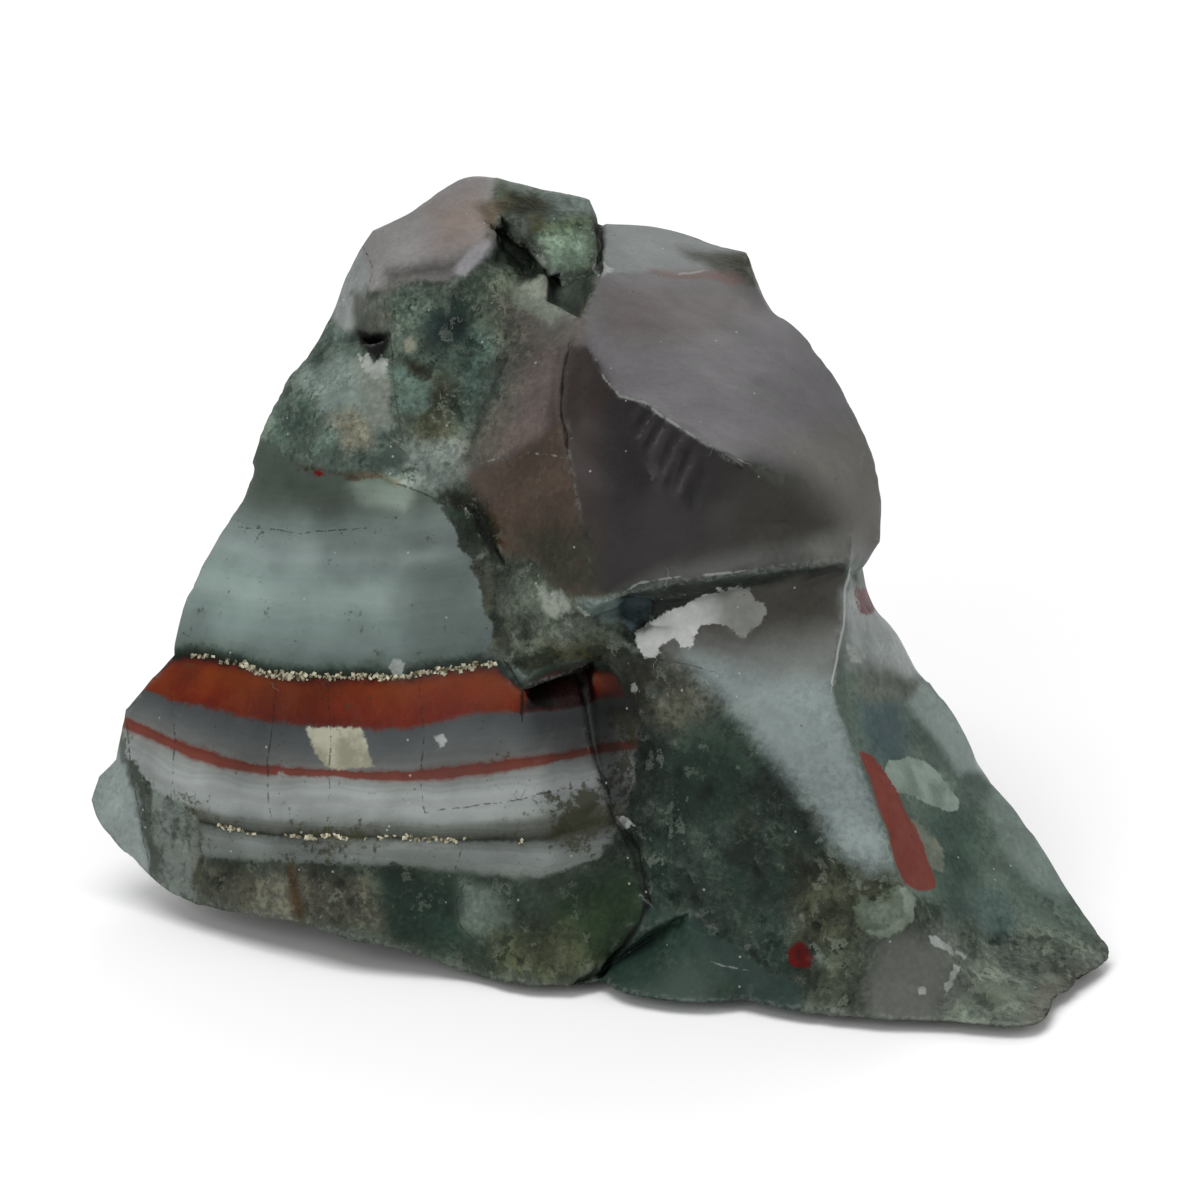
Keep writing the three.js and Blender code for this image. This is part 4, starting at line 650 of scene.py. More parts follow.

# Where the stone is darker or paler than its rock: the clouding of thick stone, darker along the crack
# beside the bands, and painted shade by the dark red recess. By what share, between which distances
# inside the outline it sets in, and the outline.
SHADES = [
    (-0.38, -0.9, 0.9, [-3.5, -4.5, 2, -4.5, 2, -13, -2, -13, -3, -9]),
    (-0.4, -0.4, 0.7, [-0.6, -3.2, -0.2, -5, 0.2, -7.5, 0.6, -10.6, 3, -10.6, 3, -3.2]),
    (-0.66, -0.35, 0.4, [-0.9, -4.2, 0.2, -4.2, 0.9, -7.5, 1.3, -10.3, 0.2, -10.3, -0.4, -7.5]),
    (-0.55, -0.4, 0.5, [-0.15, -3, 2.25, -2.9, 2.25, -5.6, 0.1, -5.5]),
    (-0.3, -0.6, 0.5, [-3, -5.6, -0.5, -5.4, 0.1, -8.2, -2.4, -8.3]),
    (-0.22, -1.6, 0.9, [-9, 6, -5, 2, -5, -3.4, -8.5, -3.4, -10, 2]),
    (-0.15, -0.8, 0.8, [-18, -4.5, -13.5, -4.5, -13.5, -8, -18, -8]),
    (0.14, -0.9, 0.9, [-23.5, -3.5, -18.5, -3.5, -18.5, -9, -22.5, -9.5, -23.5, -6]),
    (0.12, -1.6, 1.2, [-21, 3, -15, 4, -9, 2, -10, -2, -20.5, -2.5]),
    (-0.12, -0.8, 0.8, [-18.5, 5.9, -8.5, 5.9, -7.5, 3, -19, 3.2]),
    (0.22, -1.5, 0.8, [-21.5, 2, -18.5, 4, -16.5, 2, -17.5, -2.5, -21.5, -2.75]),
    (-0.2, -0.5, 0.6, [-14, 3.5, -10.5, 2.75, -10.4, 1, -12.5, 0.5, -13.9, 1.5]),
    (0.24, -0.35, 0.5, [-10.4, 2.6, -8, 2.7, -7.4, 2, -10, 1.7]),
    (-0.16, -0.8, 0.6, [-8.5, 1.5, -5.8, 1, -5.5, -2, -8, -2.5, -9, -0.5]),
    (1.5, -0.35, 0.5, [-12.5, 5.8, -11.6, 6.3, -9.6, 6, -9.1, 5.3, -9.8, 4.7, -11.5, 4.7]),
    (-0.22, -0.4, 0.5, [-15.8, 6.3, -12.8, 6.1, -12.7, 4.3, -14.1, 3.9, -15.5, 4.7]),
    (0.15, -0.3, 0.3, [-12.4, -9.2, -10.9, -9.2, -10.7, -10.3, -12.5, -10.3]),
    (0.14, -0.6, 0.6, [-13.5, -9, -8, -9.1, -7.8, -10.6, -13, -10.6]),
    (-0.2, -0.6, 0.5, [-20.2, -11.8, -13.5, -12, -13.5, -13.5, -20.2, -13.4]),
    (0.4, -0.4, 0.5, [-10.2, 5, -6.5, 4.5, -6.2, 3.3, -10, 3.6]),
]
# Olive stains on the bands, in the same way.
STAINS = [
    (1, -1.2, 0.9, [-2.2, -9.6, 0, -9.4, 0.6, -11.5, -0.5, -12.5, -2, -12]),
    (0.7, -1, 0.6, [-21.25, -9.5, -19.75, -10, -19.6, -13, -20.75, -12.5]),
    (0.5, -1, 0.6, [-18, -13.5, -12, -11, -9, -11.75, -12, -12.75]),
    (0.75, -0.8, 0.7, [0, -5, 2.25, -4.8, 2.25, -10.6, 0.8, -10.3, 0.3, -7.5]),
]
murk_and_shade = np.ones(len(points))
for amount, low, high, outline in SHADES:
    murk_and_shade *= 1 + amount * step_up(inside(outline, torn), low, high)
murk_and_shade = 1 + (murk_and_shade - 1) * front
stain = np.zeros(len(points))
for amount, low, high, outline in STAINS:
    stain = np.maximum(stain, amount * step_up(inside(outline, torn), low, high))
stain *= front

# The grain of the break, cut into the surface: mossy rock is rough and pitted, chalcedony is
# smooth with faint ripples, the seams are sunk, and the crust stands up from the facet under it.
MOSS_LUMPS = 0.2
MOSS_RIDGES = 0.07
MOSS_PITS = 0.4
CRACK_DEPTH = 0.2
CRACK_WIDTH = 0.14
CRUST_HEIGHT = 0.1
LUMP_HEIGHT = 0.3
HOLE_DEPTH = 0.35
CHIP_DEPTH = 0.5
# Swellings and bites: the place, the height and the width.
SWELLINGS = [((14.65, -2), 0.5, 1.5), ((23.1, -20.2), -0.5, 0.4), ((24.1, -19.2), -0.3, 0.35)]
# The seams' layer numbers, and how deep they are sunk.
SUNK_SEAMS = [(-0.07, 0.12), (4.85, 0.1)]
lift = 0.06 * many_lumps(points, 2.6, 31) + 0.015 * many_lumps(points, 0.7, 32)
ridges = 1 - 2 * np.abs(many_lumps(points, 2.1, 41, 3))
pits = np.maximum(0, many_lumps(points, 1.0, 34) - 0.2)
lift += raw * (MOSS_LUMPS * many_lumps(points, 1.7, 33, 4) + MOSS_RIDGES * ridges - MOSS_PITS * pits)
opened = 0.5 + 0.5 * step_up(lumps(points, 1.5, 42), -0.3, 0.4)
lift -= CRACK_DEPTH * front * np.exp(-((far_from["crack"] / CRACK_WIDTH) ** 2)) * opened
lift += CRUST_HEIGHT * step_up(shapes["crust"], -0.12, 0.15) * (1 + 0.25 * many_lumps(points, 1.0, 35))
lift += LUMP_HEIGHT * np.sqrt(np.clip(shapes["lump"], 0, 1)) * front
for spot, swelling, width in SWELLINGS:
    lift += front * swelling * np.exp(-((drawn - spot) ** 2).sum(1) / width**2)
lift -= HOLE_DEPTH * step_up(shapes["hole"], -0.3, 0.5)
in_layers = step_up(banded, 0, 0.4)
for seam, sunk in SUNK_SEAMS:
    lift -= in_layers * sunk * np.exp(-(((layer - seam) / 0.1) ** 2)) * (0.7 + 0.5 * lumps(points, 0.8, 36))

# Feathered ripples fan out from a point on the ridge, across the dished face of the dome, and wide
# faint rings run round a point on its left. The ripples get painted shade in their grooves and painted
# light on their crests.
RIPPLE_START = (2, 10.1)
RIPPLE_HEIGHT = 0.06
RIPPLE_SHADE = 0.34
RING_MIDDLE = (1.2, 10.9)
RING_HEIGHT = 0.03
along = (drawn - RIPPLE_START) @ np.array([0.62, -0.785])
off_line = (drawn - RIPPLE_START) @ np.array([0.785, 0.62])
in_ripples = inside([
    0.9, 10, 2.5, 9.8, 4.5, 8.3, 5.8, 6.5, 5, 4, 3.4, 5, 1.5, 7.7
], drawn)
phase = along * (7.6 - 0.3 * along) + (1.0 + 0.3 * along) * off_line + 1.7 * many_lumps(points, 1.3, 37)
ripples = front * step_up(in_ripples, -0.1, 0.8) * np.sin(phase)
lift += RIPPLE_HEIGHT * ripples
# Painted shade in the ripples' grooves and painted light on their crests.
murk_and_shade *= 1 + RIPPLE_SHADE * ripples
rings = np.hypot(*(drawn - RING_MIDDLE).T)
dome_dark = inside([
    -0.85, 12.75, 2.25, 9.85, 7.1, 6.9, 12.5, 5.25, 12.3, 1.95, 4, 1.1, 0, 0.4, -1.7, 7.75
], drawn)
ringed = np.sin(rings * 2.4 + many_lumps(points, 3, 38))
lift += RING_HEIGHT * front * step_up(dome_dark, 0, 0.6) * ringed

# The base stays flat, and the sharp edges lose chips.
on_base = points[:, 2] < ON_BASE
lift[on_base] = 0
lift *= step_up(points[:, 2], 0.0, 0.5)
chipped = np.zeros(len(points))
chipped[np.unique(sharp)] = 1
chips = np.maximum(0, many_lumps(points, 1.1, 39) - 0.1) * chipped * step_up(points[:, 2], 0.4, 1.2)
sides, _ = sides_of(faces)


def spread(values):
    """Evens values out between neighbours, twice over."""
    for _ in range(2):
        values = 0.5 * values + 0.5 * neighbour_means(values[:, None], sides)[0][:, 0]
    return values


points = points + normals * (lift - CHIP_DEPTH * spread(chips))[:, None]
points[:, 2] = np.where(on_base, 0, np.maximum(points[:, 2], 0.03))

# How far each point stands out from those close to it, and from those further round, from -1 in a
# hollow to 1 on an edge. The coarser mesh of the back would show the first one as lines.
normals = point_normals(points, faces)
edge = spread(np.sum((points - neighbour_means(points, sides)[0]) * normals, axis=1))
edge = np.clip(edge / 0.02, -1, 1) * (0.15 + 0.85 * front)
wide = points.copy()
for _ in range(14):
    wide = neighbour_means(wide, sides)[0]
stand = np.clip(np.sum((points - wide) * normals, axis=1) / 0.14, -1, 1)

# Weathered streaks run down the broken left-hand edge of the bands.
streaked = step_up(inside([
    -24.1, -6.75, -22.5, -8, -20, -10, -19.5, -12.5, -19.75, -15.75, -22.5, -15, -23.1, -9.5
], torn), -0.3, 0.5)
streaked *= front * (0.6 + 0.4 * many_lumps(points * (1.0, 1.0, 0.25), 0.5, 66, 2))

mesh = bpy.data.meshes.new("bloodstone_visual")
mesh.from_pydata((points * MM).tolist(), [], faces.tolist())
mesh.update()
mesh.shade_smooth()
# The marks that the colours are drawn from, three to an attribute. Drift, clouds, tone, mottle and
# medium are broad and middling variations through the stone, from about 0 to 1.
MARKS = {
    "raw": raw, "layer": layer, "banded": banded, "murk_and_shade": murk_and_shade, "stain": stain, "edge": edge, "stand": stand,
    "drift": 0.5 + 0.32 * many_lumps(points, 3.2, 61),
    "clouds": 0.5 + 0.32 * many_lumps(points, 2.3, 62, 4),
    "tone": 0.5 + 0.32 * many_lumps(points, 2.8, 63, 4),
    "mottle": 0.5 + 0.42 * many_lumps(points, 1.6, 64, 3),
    "medium": 0.5 + 0.36 * many_lumps(points, 0.9, 65, 2),
    "streaked": streaked, "line_far": line_far, "crust_light": crust_light, **line_marks, **shapes,
}
mark_names = list(MARKS)
for start in range(0, len(mark_names), 3):
    trio = np.zeros((len(points), 3), np.float32)
    for part, name in enumerate(mark_names[start:start + 3]):
        trio[:, part] = MARKS[name]
    made = mesh.attributes.new("marks_%d" % (start // 3), "FLOAT_VECTOR", "POINT")
    made.data.foreach_set("vector", trio.ravel())
colours = np.ones((len(points), 4), np.float32)
colours[:, :3] = paint
mesh.attributes.new("paint", "FLOAT_COLOR", "POINT").data.foreach_set("color", colours.ravel())
stone = bpy.data.objects.new("bloodstone_visual", mesh)
bpy.context.scene.collection.objects.link(stone)

skin = bpy.data.materials.new("bloodstone")
skin.use_nodes = True
skin_nodes, wires = skin.node_tree.nodes, skin.node_tree.links
surface = skin_nodes["Principled BSDF"]


def wire(value, socket):
    if isinstance(value, bpy.types.NodeSocket):
        wires.new(value, socket)
    else:
        socket.default_value = value


parted = {}


def mark(name):
    """One of the stone's marks, out of the attribute that it shares with two others."""
    trio, part = divmod(mark_names.index(name), 3)
    if trio not in parted:
        found = skin_nodes.new("ShaderNodeAttribute")
        found.attribute_name = "marks_%d" % trio
        parted[trio] = skin_nodes.new("ShaderNodeSeparateXYZ")
        wires.new(found.outputs["Vector"], parted[trio].inputs[0])
    return parted[trio].outputs[part]


def reckon(kind, a, b=0.0):
    made = skin_nodes.new("ShaderNodeMath")
    made.operation = kind
    wire(a, made.inputs[0])
    wire(b, made.inputs[1])
    return made.outputs[0]


def plus(a, b):
    return reckon("ADD", a, b)


def both(a, b):
    return reckon("MULTIPLY", a, b)


def grade(value, low, high, low_to=0.0, high_to=1.0):
    """Goes smoothly from low_to to high_to as the value goes from low to high."""
    made = skin_nodes.new("ShaderNodeMapRange")
    made.interpolation_type = "SMOOTHSTEP"
    for number, part in enumerate((value, low, high, low_to, high_to)):
        wire(part, made.inputs[number])
    return made.outputs[0]


def blend(share, a, b, kind="MIX"):
    made = skin_nodes.new("ShaderNodeMix")
    made.data_type = "RGBA"
    made.blend_type = kind
    for part, socket in ((share, made.inputs[0]), (a, made.inputs[6]), (b, made.inputs[7])):
        wire(part, socket)
    return made.outputs[2]


def shaded(colour, light, share=1.0):
    """A colour made darker or paler by a factor."""
    return blend(share, colour, light, "MULTIPLY")


def tint(red, green, blue):
    return (*hue(red, green, blue), 1.0)


def channels(colour):
    made = skin_nodes.new("ShaderNodeSeparateColor")
    wire(colour, made.inputs[0])
    return made.outputs


place = skin_nodes.new("ShaderNodeTexCoord").outputs["Object"]


def cells(size, around=place):
    """Cells about as large as size, in mm: how far their middles are, and a random colour for each."""
    made = skin_nodes.new("ShaderNodeTexVoronoi")
    wire(around, made.inputs["Vector"])
    made.inputs["Scale"].default_value = 1 / (size * MM)
    return made.outputs["Distance"], channels(made.outputs["Color"])


def ramp(value, stops):
    """Colours or greys along a value from 0 to 1."""
    made = skin_nodes.new("ShaderNodeValToRGB")
    elements = made.color_ramp.elements
    for number, (at, colour) in enumerate(stops):
        element = elements[number] if number < 2 else elements.new(1.0)
        element.position = at
        element.color = colour
    wire(value, made.inputs[0])
    return made.outputs[0]


def noise(scale, detail, roughness, where, dimensions="3D"):
    made = skin_nodes.new("ShaderNodeTexNoise")
    made.noise_dimensions = dimensions
    wire(where, made.inputs["W" if dimensions == "1D" else "Vector"])
    for name, value in (("Scale", scale), ("Detail", detail), ("Roughness", roughness)):
        made.inputs[name].default_value = value
    return made.outputs["Fac"]


# The finest grain is 0.3 mm across. It makes every coarser variation, and every edge, flutter.
FINE_GRAIN = 0.3
fine = noise(1 / (FINE_GRAIN * MM), 2.0, 0.65, place)
flutter = reckon("SUBTRACT", fine, 0.5)
medium = plus(mark("medium"), both(flutter, 0.5))
mottle = plus(mark("mottle"), both(flutter, 0.3))
wobble = reckon("SUBTRACT", medium, 0.5)
cloudy = mark("clouds")

# The bands' colours run by layer number, wavering a little with the grain.
BAND_COLOURS = [
    (-4.2, (74, 84, 76)), (-3.5, (86, 95, 88)), (-3, (105, 117, 113)), (-2.4, (120, 132, 129)),
    (-1.9, (112, 126, 122)), (-1.5, (120, 133, 129)), (-1.1, (106, 120, 116)), (-0.55, (100, 112, 109)),
    (-0.32, (88, 100, 95)), (-0.17, (46, 56, 49)), (-0.02, (30, 34, 26)), (0.03, (68, 28, 14)),
    (0.2, (106, 47, 22)), (0.6, (103, 41, 16)), (0.93, (92, 34, 17)), (1.05, (68, 72, 73)),
    (1.5, (81, 85, 85)), (1.9, (95, 97, 95)), (2.06, (94, 50, 42)), (2.75, (106, 60, 52)),
    (3.04, (122, 126, 123)), (3.35, (136, 142, 140)), (3.6, (142, 146, 145)), (3.75, (136, 142, 139)),
    (3.98, (128, 134, 131)), (4.3, (94, 98, 92)), (4.75, (70, 73, 66)), (4.92, (34, 37, 29)),
    (5.08, (96, 102, 98)), (5.35, (120, 126, 123)), (5.7, (119, 126, 122)), (6.1, (84, 92, 85)),
]
LOWEST_LAYER, HIGHEST_LAYER = -4.3, 6.3
span = HIGHEST_LAYER - LOWEST_LAYER
number = plus(mark("layer"), both(wobble, 0.16))
number = plus(number, both(flutter, 0.12))
banded_colour = ramp(reckon("DIVIDE", reckon("SUBTRACT", number, LOWEST_LAYER), span),
                     [((at - LOWEST_LAYER) / span, tint(*colour)) for at, colour in BAND_COLOURS])
drifted = plus(mark("layer"), both(reckon("SUBTRACT", mark("drift"), 0.5), 0.9))
stripes = grade(noise(2.0, 4.0, 0.7, drifted, "1D"), 0.34, 0.66, 0.86, 1.16)
banded_colour = shaded(banded_colour, stripes, grade(number, 0.0, 3.4, 0.35, 0.65))
banded_colour = shaded(banded_colour, grade(cloudy, 0.3, 0.7, 0.8, 1.2))
jasper = both(grade(number, -0.02, 0.1), grade(number, 1.04, 0.94))
banded_colour = blend(both(both(jasper, grade(mottle, 0.5, 0.64)), 0.25), banded_colour, tint(72, 26, 12))
banded_colour = blend(both(both(jasper, grade(mottle, 0.5, 0.36)), 0.3), banded_colour, tint(112, 56, 28))
stained = grade(plus(mark("stain"), both(plus(wobble, flutter), 1.5)), 0.35, 0.9)
banded_colour = blend(both(stained, 0.8), banded_colour, tint(58, 58, 36))

# The raw rock is mottled dark and pale at every size; the glassy stone is faintly clouded.
MOTTLES = [(0.36, (0.4, 0.42, 0.4, 1)), (0.44, (0.74, 0.76, 0.74, 1)), (0.5, (0.98, 0.98, 0.96, 1)),
           (0.56, (1.28, 1.28, 1.24, 1)), (0.64, (2.0, 1.95, 1.85, 1))]
raw_rock = mark("raw")


def by_rawness(glassy, mossy):
    return grade(raw_rock, 0.0, 1.0, glassy, mossy)


painted = skin_nodes.new("ShaderNodeAttribute")
painted.attribute_name = "paint"
colour = painted.outputs["Color"]
colour = shaded(colour, grade(cloudy, 0.3, 0.7, by_rawness(0.9, 0.66), by_rawness(1.1, 1.42)))
colour = shaded(colour, grade(plus(both(fine, 0.6), both(medium, 0.4)), 0.34, 0.66, 0.94, 1.06))
colour = shaded(colour, ramp(plus(both(mottle, 0.72), both(fine, 0.28)), MOTTLES), raw_rock)
patchy = plus(mark("tone"), both(flutter, 0.5))
colour = blend(both(grade(patchy, 0.58, 0.74), both(raw_rock, 0.55)), colour, tint(72, 68, 46))
colour = blend(both(grade(patchy, 0.42, 0.26), both(raw_rock, 0.5)), colour, tint(42, 62, 56))
streak = plus(mark("streaked"), both(flutter, 0.5))
streak_colour = blend(grade(streak, 0.45, 0.75), tint(68, 74, 66), tint(120, 128, 123))
colour = blend(both(grade(mark("streaked"), 0.05, 0.2), 0.7), colour, streak_colour)

# Pebbles of paler and darker rock, whose edges are bent, and dark threads between them.
PEBBLE = 0.62
BEND = 2.4
offset = skin_nodes.new("ShaderNodeCombineXYZ")
for value, socket in zip((wobble, flutter, reckon("SUBTRACT", mottle, 0.5)), offset.inputs):
    wire(value, socket)
bent = skin_nodes.new("ShaderNodeVectorMath")
bent.operation = "MULTIPLY_ADD"
wire(offset.outputs[0], bent.inputs[0])
bent.inputs[1].default_value = (BEND * MM, BEND * MM, BEND * MM)
wire(place, bent.inputs[2])
_, pebble = cells(PEBBLE, bent.outputs[0])
pale_pebble = both(grade(plus(pebble[0], both(flutter, 0.3)), 0.9, 1.0), raw_rock)
colour = blend(both(pale_pebble, 0.42), colour, tint(118, 126, 115))
dark_pebble = both(grade(pebble[1], 0.8, 1.0), raw_rock)
colour = blend(both(dark_pebble, 0.6), colour, tint(26, 32, 27))
threads = both(grade(reckon("ABSOLUTE", wobble), 0.02, 0.004), both(raw_rock, grade(cloudy, 0.55, 0.4)))
colour = blend(both(threads, 0.5), colour, tint(26, 29, 22))

in_bands = grade(plus(mark("banded"), both(wobble, 1.2)), -0.1, 0.1)
in_bands = both(in_bands, grade(number, 6.12, 5.9))
colour = blend(in_bands, colour, banded_colour)
# Darker and paler: the clouding of thick stone, darker along the crack, painted shade by the recess, and
# painted shade and light on the ripples.
colour = shaded(colour, mark("murk_and_shade"))


def cover(name, waver, soft, strength):
    """How far a crisp patch covers what is under it. Its edge wavers, and is soft over a distance in mm."""
    edge_at = plus(mark(name), both(wobble, waver))
    edge_at = plus(edge_at, both(flutter, waver * 0.6))
    return both(grade(edge_at, -soft, soft), strength)


# Each crisp patch: its dark and its pale colour, the grain from which to which it turns from one to
# the other, how far its edge wavers, how soft that is, and how well it covers.
CRISP_COLOURS = [
    # The first row's near-black reds are painted shadow on the red jasper.
    ("shadowed_pit", (8, 1, 1), (40, 5, 4), 0.26, 0.89, 0.25, 0.15, 0.97),
    ("cream", (136, 135, 116), (172, 171, 152), 0.24, 0.7, 0.3, 0.08, 0.95),
    ("pale_oval", (108, 124, 113), (140, 156, 146), 0.24, 0.74, 0.2, 0.05, 0.97),
    ("cream_lens", (92, 100, 88), (122, 128, 114), 0.26, 0.74, 0.35, 0.08, 0.9),
    ("red_strip", (112, 52, 44), (124, 68, 58), 0.22, 0.84, 0.3, 0.06, 1.0),
    ("red_spot", (74, 8, 6), (104, 22, 18), 0.26, 0.84, 0.5, 0.07, 1.0),
    ("lump", (72, 84, 68), (98, 110, 94), 0.26, 0.74, 0.6, 0.2, 0.85),
    ("lump_rim", (112, 124, 108), (134, 144, 131), 0.26, 0.74, 0.3, 0.12, 0.9),
    ("chip", (126, 132, 127), (172, 176, 172), 0.21, 0.74, 0.3, 0.05, 0.82),
]
for name, dark, pale, low, high, waver, soft, strength in CRISP_COLOURS:
    shade = blend(grade(medium, low, high), tint(*dark), tint(*pale))
    colour = blend(cover(name, waver, soft, strength), colour, shade)
colour = blend(cover("hole", 0.8, 0.25, 0.9), colour, tint(88, 104, 110))
crust_colour = blend(mark("crust_light"), tint(134, 136, 131), tint(194, 196, 193))
crust_colour = shaded(crust_colour, grade(medium, 0.2, 0.75, 0.82, 1.12))
crusted = cover("crust", 0.4, 0.05, 0.95)
colour = blend(crusted, colour, crust_colour)

# Each kind of line: half its width in mm, from where to where its edge fades, how well it covers,
# and its colour. The grain makes it thick and thin, and breaks it where the width is less than 0.
LINE_LOOKS = [
    ("crack", grade(medium, 0.3, 0.65, 0.01, 0.11), 0.07, -0.03, 0.8, (22, 24, 17)),
    ("hairline", grade(fine, 0.4, 0.6, -0.025, 0.04), 0.03, -0.01, 0.62, (34, 36, 31)),
    # Some of the pale veins and the glint are painted highlights along edges.
    ("vein_and_highlight", grade(medium, 0.46, 0.66, -0.02, 0.06), 0.03, -0.02, 0.4, (160, 164, 160)),
    ("glint", 0.0, 0.07, 0.01, 0.6, (196, 198, 194)),
]
near_line = grade(mark("line_far"), 0.6, 0.4)
for name, width, faded, full, strength, shade in LINE_LOOKS:
    past_edge = reckon("SUBTRACT", reckon("ABSOLUTE", mark(name)), width)
    share = both(both(grade(past_edge, faded, full), near_line), strength)
    colour = blend(share, colour, tint(*shade))

# Thin edges are painted pale, partly as bruising and partly as the light that they let through.
# Hollows of the rough rock get painted shade, and its raised spots are paler.
on_edge = both(grade(mark("edge"), 0.3, 1.0), grade(fine, 0.38, 0.62))
colour = blend(both(on_edge, 0.2), colour, tint(150, 155, 151))
painted_hollow_shade = both(grade(mark("stand"), -0.1, -0.8), by_rawness(0.45, 1.0))
colour = blend(both(painted_hollow_shade, 0.62), colour, tint(24, 27, 20))
proud = both(grade(mark("stand"), 0.15, 0.9), raw_rock)
colour = blend(both(proud, 0.22), colour, tint(120, 128, 118))

# White dust in specks, and small dark pits.
DOT_SPACING = 0.9
dot_far, dot = cells(DOT_SPACING)
dotted = grade(dot_far, 0.09, 0.05)
colour = blend(both(both(dotted, grade(dot[0], 0.68, 0.7)), 0.6), colour, tint(170, 174, 170))
colour = blend(both(both(dotted, grade(dot[0], 0.3, 0.28)), 0.5), colour, tint(34, 35, 30))
wire(colour, surface.inputs["Base Color"])

satin = plus(by_rawness(0.4, 0.66), both(flutter, 0.25))
wire(plus(satin, both(crusted, 0.2)), surface.inputs["Roughness"])
surface.inputs["IOR"].default_value = 1.5
surface.inputs["Specular IOR Level"].default_value = 0.14

bump = skin_nodes.new("ShaderNodeBump")
wire(by_rawness(0.08, 0.85), bump.inputs["Strength"])
bump.inputs["Distance"].default_value = 0.14 * MM
wire(fine, bump.inputs["Height"])
wire(bump.outputs[0], surface.inputs["Normal"])
mesh.materials.append(skin)
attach(stone, "root")
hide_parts("bloodstone")


# The pyrite: grains of brassy crystal, 0.1 to 0.3 mm, that grew in the two seams between the bands.
# Each is a small cube, half sunk into its seam at its own turn.
GRAIN_SIZE = 0.17
# Rows of grains: the layer number, how far they stray from it, the left and right end, and how many.
SEAMS = [(-0.035, 0.05, -20.5, -18, 12), (-0.035, 0.06, -18, -5.2, 150), (4.93, 0.12, -19.6, -2.6, 62)]
DEEP_GRAINS = 60
picker = np.random.default_rng(7)
spots = []
for seam, stray, left, right_end, amount in SEAMS:
    in_row = (np.abs(layer - seam) < stray) & (banded > 0.1) & (front > 0.9)
    in_row &= (across > left) & (across < right_end)
    found = np.nonzero(in_row)[0]
    clump = step_up(lumps(points[found], 1.8, 51), -0.5, 0.5) + 0.06
    spots.append(picker.choice(found, min(amount, len(found)), replace=False, p=clump / clump.sum()))
behind = (np.abs(layer - SEAMS[1][0]) < 0.06) & (banded > 0.1) & (front < 0.3) & (points[:, 2] > 1)
found = np.nonzero(behind)[0]
spots.append(picker.choice(found, min(DEEP_GRAINS, len(found)), replace=False))
spots = np.concatenate(spots)
seeds = bpy.data.meshes.new("seam_spots")
seeds.from_pydata((points[spots] * MM).tolist(), [], [])
grain_object = bpy.data.objects.new("seam_grains", seeds)
bpy.context.scene.collection.objects.link(grain_object)

brass = bpy.data.materials.new("pyrite")
brass.use_nodes = True
brass_nodes, brass_wires = brass.node_tree.nodes, brass.node_tree.links
grain_surface = brass_nodes["Principled BSDF"]
tarnish = brass_nodes.new("ShaderNodeTexNoise")
tarnish.inputs["Scale"].default_value = 1 / (0.25 * MM)
brass_wires.new(brass_nodes.new("ShaderNodeTexCoord").outputs["Object"], tarnish.inputs["Vector"])
shades = brass_nodes.new("ShaderNodeValToRGB")
for element, at, brassy in zip(shades.color_ramp.elements, (0.4, 0.6), ((100, 93, 70), (198, 192, 168))):
    element.position = at
    element.color = tint(*brassy)
brass_wires.new(tarnish.outputs["Fac"], shades.inputs[0])
brass_wires.new(shades.outputs[0], grain_surface.inputs["Base Color"])
dulled = brass_nodes.new("ShaderNodeMapRange")
dulled.inputs["To Min"].default_value = 0.3
dulled.inputs["To Max"].default_value = 0.6
brass_wires.new(tarnish.outputs["Fac"], dulled.inputs["Value"])
brass_wires.new(dulled.outputs[0], grain_surface.inputs["Roughness"])
grain_surface.inputs["Metallic"].default_value = 0.2

growth = bpy.data.node_groups.new("pyrite_growth", "GeometryNodeTree")
growth.interface.new_socket("Seam spots", in_out="INPUT", socket_type="NodeSocketGeometry")
size_socket = growth.interface.new_socket("Grain size", in_out="INPUT", socket_type="NodeSocketFloat")
seed_socket = growth.interface.new_socket("Seed", in_out="INPUT", socket_type="NodeSocketInt")
growth.interface.new_socket("Grains", in_out="OUTPUT", socket_type="NodeSocketGeometry")


def grow(kind):
    return growth.nodes.new(kind)


given, made = grow("NodeGroupInput"), grow("NodeGroupOutput")
cube, scatter = grow("GeometryNodeMeshCube"), grow("GeometryNodeInstanceOnPoints")
turned, sized = grow("FunctionNodeRandomValue"), grow("FunctionNodeRandomValue")
scaled = grow("ShaderNodeVectorMath")
realize, coat = grow("GeometryNodeRealizeInstances"), grow("GeometryNodeSetMaterial")
turned.data_type = sized.data_type = "FLOAT_VECTOR"
turned.inputs["Max"].default_value = (math.tau, math.tau, math.tau)
sized.inputs["Min"].default_value = (0.45, 0.45, 0.45)
sized.inputs["Max"].default_value = (1.4, 1.4, 1.4)
scaled.operation = "SCALE"
coat.inputs["Material"].default_value = brass
for start, end in (
    (given.outputs["Seam spots"], scatter.inputs["Points"]),
    (cube.outputs["Mesh"], scatter.inputs["Instance"]),
    (given.outputs["Seed"], turned.inputs["Seed"]),
    (given.outputs["Seed"], sized.inputs["Seed"]),
    (turned.outputs["Value"], scatter.inputs["Rotation"]),
    (sized.outputs["Value"], scaled.inputs[0]),
    (given.outputs["Grain size"], scaled.inputs["Scale"]),
    (scaled.outputs["Vector"], scatter.inputs["Scale"]),
    (scatter.outputs["Instances"], realize.inputs["Geometry"]),
    (realize.outputs["Geometry"], coat.inputs["Geometry"]),
    (coat.outputs["Geometry"], made.inputs["Grains"]),
):
    growth.links.new(start, end)
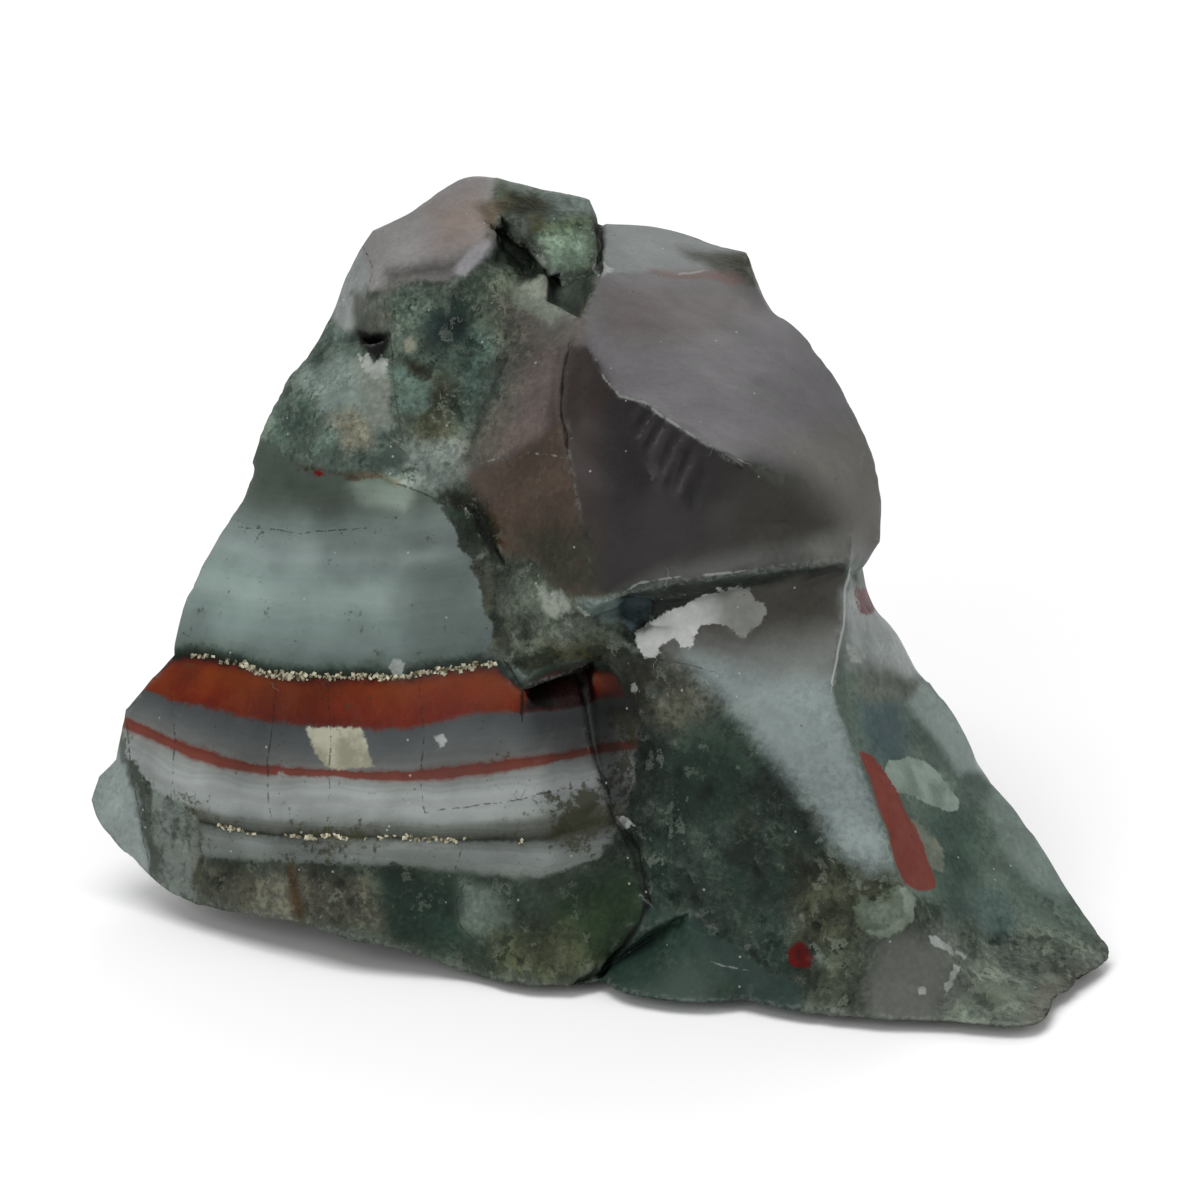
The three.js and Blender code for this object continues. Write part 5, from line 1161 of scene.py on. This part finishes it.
modifier = grain_object.modifiers.new("pyrite_growth", "NODES")
modifier.node_group = growth
modifier[size_socket.identifier] = GRAIN_SIZE * MM
modifier[seed_socket.identifier] = 5
evaluated = grain_object.evaluated_get(bpy.context.evaluated_depsgraph_get())
grown = bpy.data.meshes.new_from_object(evaluated)
grain_object.modifiers.remove(modifier)
grain_object.data = grown
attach(grain_object, "root")


# The floor: a plain pale sheet that the stone stands on, lit by soft lamps from above, the front,
# the right and the back, and by even pale air all round.
floor_mesh = bpy.data.meshes.new("floor")
floor_mesh.from_pydata([(-3, -3, 0), (3, -3, 0), (3, 3, 0), (-3, 3, 0)], [], [(0, 1, 2, 3)])
floor = bpy.data.objects.new("floor", floor_mesh)
bpy.context.scene.collection.objects.link(floor)
sheet = bpy.data.materials.new("pale_floor")
sheet.use_nodes = True
sheet_surface = sheet.node_tree.nodes["Principled BSDF"]
sheet_surface.inputs["Base Color"].default_value = (0.95, 0.95, 0.95, 1)
sheet_surface.inputs["Roughness"].default_value = 0.9
floor_mesh.materials.append(sheet)

MIDDLE_OF_STONE = Vector((0, 0, 0.015))
for name, spot, size, power in (
    ("overhead lamp", (-0.10, -0.12, 0.55), 0.40, 1.9),
    ("front lamp", (-0.30, -0.50, 0.30), 0.35, 1.0),
    ("right lamp", (0.50, -0.25, 0.30), 0.35, 0.5),
    ("back lamp", (0.10, 0.50, 0.40), 0.35, 0.9),
):
    lamp = bpy.data.objects.new(name, bpy.data.lights.new(name, "AREA"))
    lamp.data.energy = power
    lamp.data.size = size
    lamp.location = spot
    lamp.rotation_euler = (MIDDLE_OF_STONE - Vector(spot)).to_track_quat("-Z", "Y").to_euler()
    bpy.context.scene.collection.objects.link(lamp)
air = bpy.data.worlds.new("studio_air")
air.use_nodes = True
air.node_tree.nodes["Background"].inputs["Color"].default_value = (1, 1, 1, 1)
air.node_tree.nodes["Background"].inputs["Strength"].default_value = 0.4
bpy.context.scene.world = air
bpy.context.scene.view_settings.view_transform = "Standard"
